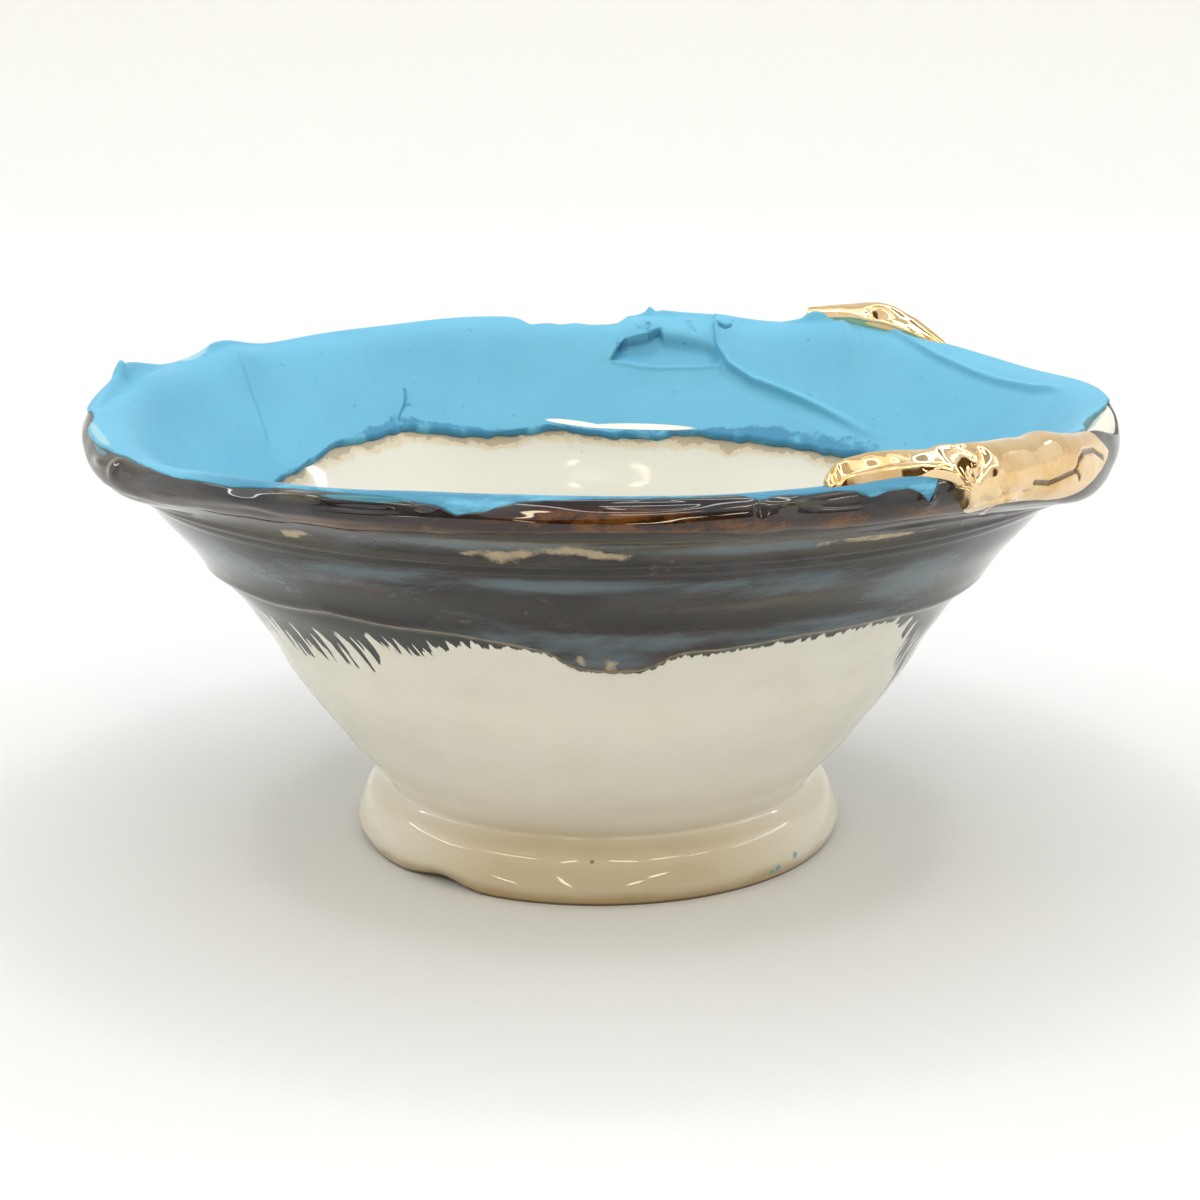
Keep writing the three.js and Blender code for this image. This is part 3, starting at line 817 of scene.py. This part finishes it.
def gold_front(columns=300):
    """The gilded lump on the front of the rim: a lens-shaped ridge, and a sheet folded over the lip."""
    bearing = np.linspace(*GOLD_FRONT_ENDS, columns)
    inner = round_curve(GOLD_FRONT_IN, bearing, 0.3)
    outer = round_curve(GOLD_FRONT_OUT, bearing, 0.2)
    rise = round_curve(GOLD_FRONT_RISE, bearing, 0.25)

    def thickness(ring, t, height, share):
        """Over the ridge: a steep front, a rolled lower rim, a hollow above it and a roof. Over the sheet: a
        slope from the roof down to a thin outer edge, with a groove where they join, pits and fine lines."""
        high = np.interp(ring, bearing, rise)
        roof = smooth_step(0.0, 0.16, share) * 0.42 + smooth_step(0.24, 0.62, share) * 0.58
        lens = roof * smooth_step(1.0, 0.86, share)
        on_crest = smooth_step(CREST_T - 2.3, CREST_T + 0.15, t)
        on_crest *= smooth_step(CREST_T + 1.1, CREST_T + 0.55, t)
        edge = smooth_step(0.0, 0.05, share) * smooth_step(1.0, 0.93, share)
        sheet = (0.16 + 0.84 * on_crest ** 1.15) * edge
        far, _ = stroke(ring, t, GOLD_JOINT)
        mix = smooth_step(-0.9, 0.9, far)
        full = high * (lens * mix + sheet * (1 - mix)) - 1.0 * bell(far, 0.55) * edge
        wrinkles = 0.35 * ring_noise(ring, t, 130, 2.4, 41) * bell(t - 12.2, 0.7)
        full += wrinkles * edge * smooth_step(320, 313, ring)
        for path, depth, wide in GOLD_CUTS:
            full -= depth * bell(stroke(ring, t, path)[0], wide) * edge
        full += lumps(ring, t, GOLD_LUMPS) * edge
        return -TUCK + np.maximum(full + TUCK, 0.0) * np.sqrt(edge)

    def paint(ring, t, height):
        """Where bare glaze shows through gaps in the gold, and the painted dark reflection lines along its
        grooves.
        """
        gap = smooth_step(12.6, 11.6, t) * smooth_step(303, 309, ring) * smooth_step(326, 320, ring)
        # Painted dark reflection lines along the first three grooves.
        dark_reflection_lines = [bell(stroke(ring, t, path)[0], 0.32) for path, depth, wide in GOLD_CUTS[:3]]
        return {"gap": gap, "crack": np.max(dark_reflection_lines, axis=0)}

    return coated_strip("gold_front", bearing, outer, inner, thickness, paint, rows=120, closed=False)


def gold_back(columns=200):
    """The gilded lump at the back: a curled leaf standing on the crest, hollow along its inner side."""
    bearing = np.linspace(*GOLD_BACK_ENDS, columns)
    inner = round_curve(GOLD_BACK_IN, bearing, 0.4)
    outer = round_curve(GOLD_BACK_OUT, bearing, 0.4)
    rise = round_curve(GOLD_BACK_RISE, bearing, 0.3)

    def thickness(ring, t, height, share):
        """A dome with a sharp left end; on its inner face a curled lid over a deep pit."""
        high = np.interp(ring, bearing, rise)
        dome = np.clip(4 * share * (1 - share), 0, 1) ** 0.4
        pit = 2.6 * bell(turn(48.6, ring), 1.4) * bell(share - 0.80, 0.06)
        lid = 0.9 * bell(turn(48.4, ring), 3.6) * bell(share - 0.64, 0.07)
        rim = 0.8 * bell(turn(46.0, ring), 5.0) * bell(share - 0.93, 0.04)
        hollow = 0.8 * bell(turn(46.5, ring), 4.0) * bell(share - 0.82, 0.09)
        return -TUCK + (high + TUCK) * dome + (lid + rim - pit - hollow) * dome

    def paint(ring, t, height):
        """No gaps and no painted dark reflection lines in this leaf."""
        return {"gap": np.zeros(t.shape), "crack": np.zeros(t.shape)}

    return coated_strip("gold_back", bearing, outer, inner, thickness, paint, rows=100, closed=False)


class Nodes:
    """Adds nodes to one tree and links them. Each value given to a node is a socket or a plain value."""

    def __init__(self, tree):
        self.tree = tree

    def add(self, kind, **settings):
        """A shader node of a kind."""
        node = self.tree.nodes.new("ShaderNode" + kind)
        for key, value in settings.items():
            setattr(node, key, value)
        return node

    def feed(self, node, **inputs):
        """Links a socket to each named input, or gives it a plain value; _ stands for a blank in a name."""
        for key, value in inputs.items():
            self.put(node.inputs[key.replace("_", " ")], value)

    def put(self, socket, value):
        """Links a socket to this one, or gives this one a plain value."""
        if isinstance(value, bpy.types.NodeSocket):
            self.tree.links.new(value, socket)
        else:
            socket.default_value = value

    def calc(self, operation, *values):
        """One Math node."""
        node = self.add("Math", operation=operation)
        for index, value in enumerate(values):
            self.put(node.inputs[index], value)
        return node.outputs[0]

    def both(self, first, second):
        """The product of two numbers."""
        return self.calc("MULTIPLY", first, second)

    def step(self, value, low, high):
        """0 where value is under low, 1 over high, and a smooth step between."""
        node = self.add("MapRange", interpolation_type="SMOOTHSTEP")
        self.feed(node, Value=value, From_Min=low, From_Max=high)
        return node.outputs[0]

    def blend(self, factor, first, second):
        """Mix of two colours, each a socket or three numbers."""
        node = self.add("Mix", data_type="RGBA")
        self.put(node.inputs[0], factor)
        for index, colour in ((6, first), (7, second)):
            self.put(node.inputs[index], (*colour, 1.0) if isinstance(colour, tuple) else colour)
        return node.outputs[2]

    def cover(self, colour, tint, mask, share):
        """A colour covered by a share of a tint where the mask is 1."""
        return self.blend(self.both(mask, share), colour, tint)

    def object_place(self):
        """The point's Object coordinates."""
        return self.add("TexCoord").outputs["Object"]

    def attribute(self, name):
        """A number stored on the piece's points."""
        return self.add("Attribute", attribute_name=name).outputs["Fac"]

    def noise(self, scale, detail, rough, stretch=(1, 1, 1), shift=(0, 0, 0), distortion=0.0):
        """Noise on Object coordinates, stretched and shifted."""
        mapping = self.add("Mapping")
        self.feed(mapping, Vector=self.object_place(), Scale=stretch, Location=shift)
        node = self.add("TexNoise")
        self.feed(node, Vector=mapping.outputs[0], Scale=scale, Detail=detail, Roughness=rough,
                  Distortion=distortion)
        return node.outputs[0]

    def wander(self, value, reach, *settings, **more):
        """A value moved by noise that runs from about -reach to reach."""
        centred = self.calc("SUBTRACT", self.noise(*settings, **more), 0.5)
        return self.calc("ADD", value, self.both(centred, 2.0 * reach))

    def bump(self, surface, height, strength, distance):
        """A Bump node on the shader's normal."""
        node = self.add("Bump")
        self.feed(node, Strength=strength, Distance=distance, Height=height)
        self.feed(surface, Normal=node.outputs[0])

    def speck(self, place, radius):
        """1 within radius millimetres of a place given in millimetres."""
        far = self.add("VectorMath", operation="DISTANCE")
        self.put(far.inputs[0], self.object_place())
        self.put(far.inputs[1], tuple(value * MM for value in place))
        return self.step(far.outputs["Value"], 1.25 * radius * MM, 0.75 * radius * MM)


def new_material(name, **values):
    """A new material, the tools for its nodes, and its Principled shader with plain values on its sockets."""
    material = bpy.data.materials.new(name)
    material.use_nodes = True
    material.node_tree.nodes.clear()
    nodes = Nodes(material.node_tree)
    surface = nodes.add("BsdfPrincipled")
    nodes.feed(surface, **values)
    nodes.feed(nodes.add("OutputMaterial"), Surface=surface.outputs[0])
    return material, nodes, surface


def streaks(nodes):
    """Noise drawn out into slanting streaks about 2 mm wide that run down the wall."""
    pair = nodes.add("CombineXYZ")
    nodes.feed(pair, X=nodes.attribute("streak_place"), Y=nodes.both(nodes.attribute("above_edge"), 0.06))
    node = nodes.add("TexNoise")
    nodes.feed(node, Vector=pair.outputs[0], Scale=1.0, Detail=2.0)
    return node.outputs[0]


def foot_shade_front(nodes):
    """1 on the front of the foot, where the painted shade is darkest, 0 on its sides and its back."""
    split = nodes.add("SeparateXYZ")
    nodes.feed(split, Vector=nodes.object_place())
    return nodes.step(nodes.both(split.outputs[1], -1.0), 0.030, 0.055)


def cream_colour(nodes, place_t):
    """Cream glaze, stained tan in a ragged border under the slip, tan on the foot as thinner glaze with
    painted shade, darker on the foot's front as painted shade, a painted contact shadow along the sole's
    edge, and a few specks.
    """
    cream = nodes.blend(nodes.step(nodes.noise(60, 4, 0.6), 0.35, 0.75), CREAM, CREAM_MOTTLE)
    below = nodes.attribute("below_slip")
    inside = nodes.calc("GREATER_THAN", place_t, CREST_T + 0.5)
    cream = nodes.blend(inside, cream, POOL_CREAM)
    ragged = nodes.wander(below, 4.5, 110, 5, 0.7)
    cream = nodes.cover(cream, POOL_TAN, nodes.both(nodes.step(ragged, 2.8, 1.4), inside), 0.75)
    cream = nodes.cover(cream, EDGE_TAN, nodes.both(nodes.step(ragged, 0.9, 0.5), inside), 0.45)
    dots = nodes.step(nodes.noise(330, 2, 0.5, shift=(9, 4, 1)), 0.72, 0.76)
    dots = nodes.both(nodes.both(dots, nodes.step(below, 7.0, 2.0)), inside)
    cream = nodes.cover(cream, SLIP_DEEP, dots, 0.8)
    # Tan on the foot, partly thinner glaze and partly painted shade; its front darker still as painted shade.
    foot = nodes.step(nodes.wander(place_t, 0.6, 25, 2, 0.5), 4.4, 2.4)
    foot = nodes.both(foot, nodes.calc("SUBTRACT", 1.0, inside))
    cream = nodes.blend(foot, cream, nodes.blend(foot_shade_front(nodes), FOOT_TAN_AND_SHADE, FOOT_FRONT_SHADE))
    hem = nodes.wander(place_t, 0.5, 70, 3, 0.6, shift=(2, 7, 5))
    cream = nodes.cover(cream, FOOT_EDGE, nodes.step(hem, 1.0, 0.4), 0.7)
    # Painted contact shadow: a dark brown line along the sole's edge.
    sole_contact_shadow = nodes.both(nodes.step(place_t, 0.34, 0.12), nodes.step(place_t, -0.9, -0.4))
    cream = nodes.cover(cream, SOLE_CONTACT_SHADOW, sole_contact_shadow, 0.85)
    for specks, tint in ((BROWN_SPECKS, SPECK_BROWN), (BLUE_SPECKS, SPECK_BLUE)):
        for place, radius in specks:
            cream = nodes.cover(cream, tint, nodes.speck(place, radius), 0.8)
    return cream


def band_colour(nodes):
    """Dark iron glaze in drifts of brown, grey, olive and plum, with grey-blue blooms, partly a painted sheen
    on the sides, and thin tan places.
    """
    drift = nodes.noise(26, 5, 0.6, stretch=(1, 1, 3.0), distortion=0.6)
    band = nodes.blend(nodes.step(drift, 0.46, 0.66), BAND_BROWN, BAND_GREY)
    turning = nodes.noise(34, 4, 0.6, stretch=(0.25, 0.25, 4.0), shift=(6, 2, 9))
    band = nodes.cover(band, BAND_OLIVE, nodes.step(turning, 0.52, 0.66), 0.7)
    band = nodes.cover(band, BAND_PLUM, nodes.step(turning, 0.47, 0.36), 0.5)
    # Grey-blue blooms; those on the sides also stand in as painted sheen.
    bloom = nodes.wander(nodes.attribute("bloom"), 1.5, 40, 6, 0.7, stretch=(0.6, 0.6, 2.6), distortion=0.4,
                         shift=(3, 1, 2))
    band = nodes.cover(band, BAND_BLUE, nodes.step(bloom, 0.15, 1.25), 0.85)
    thin = nodes.wander(nodes.attribute("tan"), 1.5, 130, 6, 0.75, shift=(2, 6, 4))
    return nodes.cover(band, TAN, nodes.step(thin, 0.35, 1.1), 0.8)


def glaze_material():
    """Glossy glazes of the body: cream below and inside, dark above the ragged edge outside."""
    material, nodes, surface = new_material("glazes", Roughness=0.05, IOR=1.5)
    above, place_t = nodes.attribute("above_edge"), nodes.attribute("section_place")
    outside = nodes.calc("LESS_THAN", place_t, nodes.attribute("dark_until"))
    tongues = nodes.calc("MULTIPLY_ADD", nodes.step(streaks(nodes), 0.34, 0.60), 0.62, 0.38)
    tongues = nodes.wander(tongues, 0.12, 300, 2, 0.5, shift=(7, 7, 7))
    reach = nodes.calc("ADD", above, nodes.both(tongues, nodes.attribute("fringe")))
    fringed = nodes.both(nodes.step(reach, -0.3, 0.3), outside)
    colour = nodes.blend(fringed, cream_colour(nodes, place_t), FRINGE_DARK)
    edge = nodes.wander(above, 0.5, 120, 3, 0.6)
    colour = nodes.blend(nodes.both(nodes.step(edge, -0.3, 0.0), outside), colour, EDGE_TAN)
    colour = nodes.blend(nodes.both(nodes.step(edge, 0.2, 0.5), outside), colour, band_colour(nodes))
    nodes.feed(surface, Base_Color=colour)
    nodes.bump(surface, nodes.noise(70, 2, 0.4), 0.12, 0.0006)
    return material


def lip_material():
    """Glassy dark glaze of the lip, with a painted amber reflection along its lower edge on the front, teal
    where slip has run into it.
    """
    material, nodes, surface = new_material("lip_glaze", Roughness=0.04, IOR=1.58)
    colour = nodes.blend(nodes.step(nodes.noise(70, 4, 0.6), 0.4, 0.65), LIP_DARK, BAND_GREY)
    up = nodes.wander(nodes.attribute("up"), 0.5, 90, 4, 0.6)
    colour = nodes.blend(nodes.step(up, 1.55, 1.0), colour, LIP_UMBER)
    # Painted amber reflection of the warm dark side in front, low on the lip's front.
    lit = nodes.step(nodes.noise(120, 4, 0.7, stretch=(1, 1, 2.0), shift=(5, 2, 7)), 0.42, 0.62)
    lit = nodes.both(lit, nodes.both(nodes.step(up, 1.35, 0.8), nodes.attribute("amber")))
    colour = nodes.blend(lit, colour, LIP_AMBER_REFLECTION)
    for name, tint, low in (("olive", LIP_OLIVE, 0.4), ("teal", LIP_TEAL, 0.45), ("cream", CREAM, 0.5)):
        spread = nodes.wander(nodes.attribute(name), 0.5, 130, 4, 0.6, shift=(low, 3, 8))
        colour = nodes.cover(colour, tint, nodes.step(spread, low, low + 0.3), 0.85)
    nodes.feed(surface, Base_Color=colour)
    nodes.bump(surface, nodes.noise(90, 2, 0.5), 0.15, 0.0008)
    return material


def slip_material():
    """Matte sky-blue slip with a darker translucent border below, green where it meets the lip's glaze."""
    material, nodes, surface = new_material("blue_slip", Roughness=0.5, IOR=1.45)
    colour = nodes.blend(nodes.step(nodes.noise(50, 5, 0.6), 0.3, 0.75), SLIP_BLUE, SLIP_MOTTLE)
    fleck = nodes.step(nodes.noise(420, 2, 0.5, shift=(4, 4, 4)), 0.70, 0.74)
    colour = nodes.cover(colour, SLIP_DEEP, fleck, 0.35)
    border = nodes.wander(nodes.attribute("border"), 0.9, 130, 5, 0.7, stretch=(1, 1, 0.7))
    broken = nodes.step(nodes.noise(90, 4, 0.65, shift=(1, 5, 2)), 0.36, 0.5)
    colour = nodes.cover(colour, SLIP_DEEP, nodes.both(nodes.step(border, 1.05, 0.85), broken), 0.75)
    smear = nodes.step(nodes.noise(60, 5, 0.65, stretch=(1, 1, 6.0), shift=(8, 1, 3)), 0.36, 0.52)
    colour = nodes.cover(colour, LEDGE_BLUE, nodes.both(nodes.attribute("ledge"), smear), 0.85)
    # A deeper blue over the scoop's facet.
    colour = nodes.cover(colour, SLIP_DEEP, nodes.attribute("scoop_facet"), 0.22)
    ruffle = nodes.step(nodes.noise(240, 4, 0.7), 0.45, 0.6)
    ruffle = nodes.both(nodes.step(nodes.attribute("ragged"), 0.3, 0.8), ruffle)
    colour = nodes.cover(colour, SLIP_DEEP, ruffle, 0.8)
    # Painted reflection strip low on the back wall.
    colour = nodes.blend(nodes.step(nodes.attribute("gleam"), 0.4, 0.6), colour, GLEAM)
    # Painted shade in cracks and under the torn roof.
    colour = nodes.cover(colour, SLIP_DEEP, nodes.attribute("cut"), 0.75)
    # Pale slip at the rim, partly a painted highlight along a lit ridge at the front left.
    pale = nodes.wander(nodes.attribute("pale"), 0.4, 140, 4, 0.6)
    colour = nodes.cover(colour, SLIP_PALE_AND_HIGHLIGHT, nodes.step(pale, 0.4, 0.8), 0.7)
    outward = nodes.wander(nodes.attribute("outward"), 0.10, 150, 4, 0.6)
    colour = nodes.cover(colour, SLIP_GREEN, nodes.step(outward, -0.075, -0.03), 0.8)
    nodes.feed(surface, Base_Color=colour)
    drag = nodes.noise(160, 4, 0.6, stretch=(1, 1, 0.35))
    grain = nodes.both(nodes.noise(900, 2, 0.5), 0.2)
    nodes.bump(surface, nodes.calc("ADD", grain, drag), 0.15, 0.0006)
    return material


def gold_material():
    """Mirror-gold lustre over a slightly rippled ground, with bare grey gaps near its lower edge."""
    material, nodes, surface = new_material("gold_lustre", Metallic=1.0, Roughness=0.09)
    colour = nodes.blend(nodes.step(nodes.noise(80, 4, 0.6), 0.35, 0.7), GOLD, GOLD_DEEP)
    bare = nodes.wander(nodes.attribute("gap"), 1.6, 190, 3, 0.55, shift=(3, 3, 1))
    colour = nodes.blend(nodes.step(bare, 1.15, 1.3), colour, GAP_GREY)
    # Painted dark reflection lines.
    crack = nodes.step(nodes.attribute("crack"), 0.15, 0.6)
    nodes.feed(surface, Base_Color=nodes.cover(colour, DARK_REFLECTION_BROWN, crack, 0.85))
    nodes.bump(surface, nodes.noise(120, 3, 0.5), 0.15, 0.0008)
    return material


def sweep():
    """A floor that curves up behind the bowl into an upright backdrop: a profile carried across x, ever wider
    towards the front."""
    bend = np.linspace(0.05, math.pi / 2, 24)
    ground = np.linspace(FLOOR_FRONT, BEND_START, 60)
    depth = np.concatenate([ground, BEND_START + BEND_RADIUS * np.sin(bend), [BEND_START + BEND_RADIUS]])
    rise = np.concatenate([0.0 * ground, BEND_RADIUS * (1 - np.cos(bend)), [BACKDROP_HEIGHT]])
    across = np.linspace(-1.0, 1.0, 9) * BACKDROP_HALF_WIDTH * (1.0 - np.minimum(depth, 0.0))[:, None]
    points = np.stack(np.broadcast_arrays(across, depth[:, None], rise[:, None]), axis=-1)
    quads = grid_faces(*across.shape, False, False)[:, ::-1]
    piece = make_mesh("floor", points.reshape(-1, 3), quads)
    material, _, _ = new_material("floor", Base_Color=(*FLOOR_COLOUR, 1.0), Roughness=1.0,
                                  Specular_IOR_Level=0.0)
    piece.data.materials.append(material)


def backdrop_wash():
    """A wide lamp above the backdrop that lights it from the front."""
    data = bpy.data.lights.new("backdrop_wash", "AREA")
    data.shape = "RECTANGLE"
    data.size, data.size_y = WASH_WIDTH, WASH_DEPTH
    data.energy, data.color = BACKDROP_POWER, BACKDROP_TINT
    lamp = bpy.data.objects.new("backdrop_wash", data)
    lamp.location = WASH_PLACE
    back = (Vector(WASH_PLACE) - Vector(WASH_TARGET)).normalized()
    side = Vector((1.0, 0.0, 0.0))
    lamp.rotation_euler = Matrix((side, back.cross(side), back)).transposed().to_euler()
    bpy.context.scene.collection.objects.link(lamp)


def lamp_shape(nodes, direction, lamp):
    """The lamp's share of brightness in the directions that it fills, a long oval about its middle on the
    sphere of directions, fading over the outer third."""
    azimuth, elevation, half_length, half_width, lean = (math.radians(value) for value in lamp[:5])
    middle = Vector((math.sin(azimuth) * math.cos(elevation), -math.cos(azimuth) * math.cos(elevation),
                     math.sin(elevation)))
    level = Vector((math.cos(azimuth), math.sin(azimuth), 0.0))
    rising = middle.cross(level)
    long_axis = level * math.cos(lean) + rising * math.sin(lean)
    short_axis = middle.cross(long_axis)
    local = nodes.add("Mapping", vector_type="TEXTURE")
    nodes.feed(local, Vector=direction, Location=middle,
               Rotation=Matrix((long_axis, short_axis, middle)).transposed().to_euler(),
               Scale=(math.sin(half_length), math.sin(half_width), 1.0))
    far = nodes.add("VectorMath", operation="LENGTH")
    nodes.put(far.inputs[0], local.outputs[0])
    shape = nodes.add("MapRange")
    nodes.feed(shape, Value=far.outputs["Value"], From_Min=1.0, From_Max=0.7, To_Max=lamp[5])
    return shape.outputs[0]


def dimmed(colour, bright=1.0):
    """A colour as a share of SKY_TOP, the strength of the surroundings."""
    return tuple(value * bright / SKY_TOP for value in colour)


def surroundings():
    """White walls, a bright ring of diffusers overhead edged by tubes, a darker side in front with a dark
    opening low down, and the small lamps."""
    world = bpy.data.worlds.new("studio")
    world.use_nodes = True
    nodes = Nodes(world.node_tree)
    direction = nodes.add("TexCoord").outputs["Generated"]
    split = nodes.add("SeparateXYZ")
    nodes.feed(split, Vector=direction)
    ahead, height = split.outputs[1], split.outputs[2]
    sky = nodes.add("ValToRGB")
    while len(sky.color_ramp.elements) < len(SKY_STEPS):
        sky.color_ramp.elements.new(0.5)
    for element, (rise, bright) in zip(sky.color_ramp.elements, SKY_STEPS):
        element.position = rise
        element.color = (*dimmed((bright, bright, bright)), 1.0)
    nodes.feed(sky, Fac=height)
    front = nodes.both(nodes.step(ahead, -0.05, -0.38), nodes.step(height, FRONT_TOP + 0.02, FRONT_TOP))
    colour = nodes.blend(front, sky.outputs[0], dimmed((FRONT_BRIGHT,) * 3))
    opening = nodes.step(height, OPENING_TOP + 0.015, OPENING_TOP)
    opening = nodes.both(nodes.step(ahead, -0.50, -0.62), opening)
    colour = nodes.blend(opening, colour, dimmed(OPENING_COLOUR))
    lit = 0.0
    for lamp in LAMPS:
        lit = nodes.calc("MAXIMUM", lamp_shape(nodes, direction, lamp), lit)
    colour = nodes.blend(lit, colour, dimmed(LAMP_TINT, LAMP_BRIGHT))
    walls = world.node_tree.nodes["Background"]
    nodes.feed(walls, Color=sky.outputs[0], Strength=SKY_TOP)
    camera_side = nodes.add("Background")
    nodes.feed(camera_side, Color=colour, Strength=SKY_TOP)
    mix = nodes.add("MixShader")
    nodes.put(mix.inputs[0], nodes.calc("LESS_THAN", ahead, -0.05))
    nodes.put(mix.inputs[1], walls.outputs[0])
    nodes.put(mix.inputs[2], camera_side.outputs[0])
    nodes.feed(world.node_tree.nodes["World Output"], Surface=mix.outputs[0])
    bpy.context.scene.world = world


def camera():
    """A pinhole camera in front of the bowl, pitched down."""
    data = bpy.data.cameras.new("camera")
    data.sensor_width = 36.0
    data.lens = FOCAL_PIXELS / PICTURE_PIXELS * data.sensor_width
    data.shift_x = AXIS_SHIFT_PIXELS / PICTURE_PIXELS
    data.clip_start, data.clip_end = 0.01, 30.0
    eye = bpy.data.objects.new("camera", data)
    eye.location = (0.0, -CAMERA_BACK * MM, CAMERA_HEIGHT * MM)
    eye.rotation_euler = (math.radians(90.0 - CAMERA_PITCH), 0.0, 0.0)
    bpy.context.scene.collection.objects.link(eye)
    bpy.context.scene.camera = eye


def dress(piece, material, replaced=()):
    """Gives a piece its material and slot, lets it ride on the one body, and hides the model's parts that it
    replaces.
    """
    piece.data.materials.append(material)
    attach(piece, "root")
    if replaced:
        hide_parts(*replaced)


bpy.context.scene.view_settings.view_transform = "Standard"
camera()
surroundings()
backdrop_wash()
sweep()
dress(bowl_body(), glaze_material(), ("bowl",))
dress(lip_glaze(), lip_material())
dress(blue_slip(), slip_material())
dress(gold_front(), gold_material())
dress(gold_back(), gold_material())
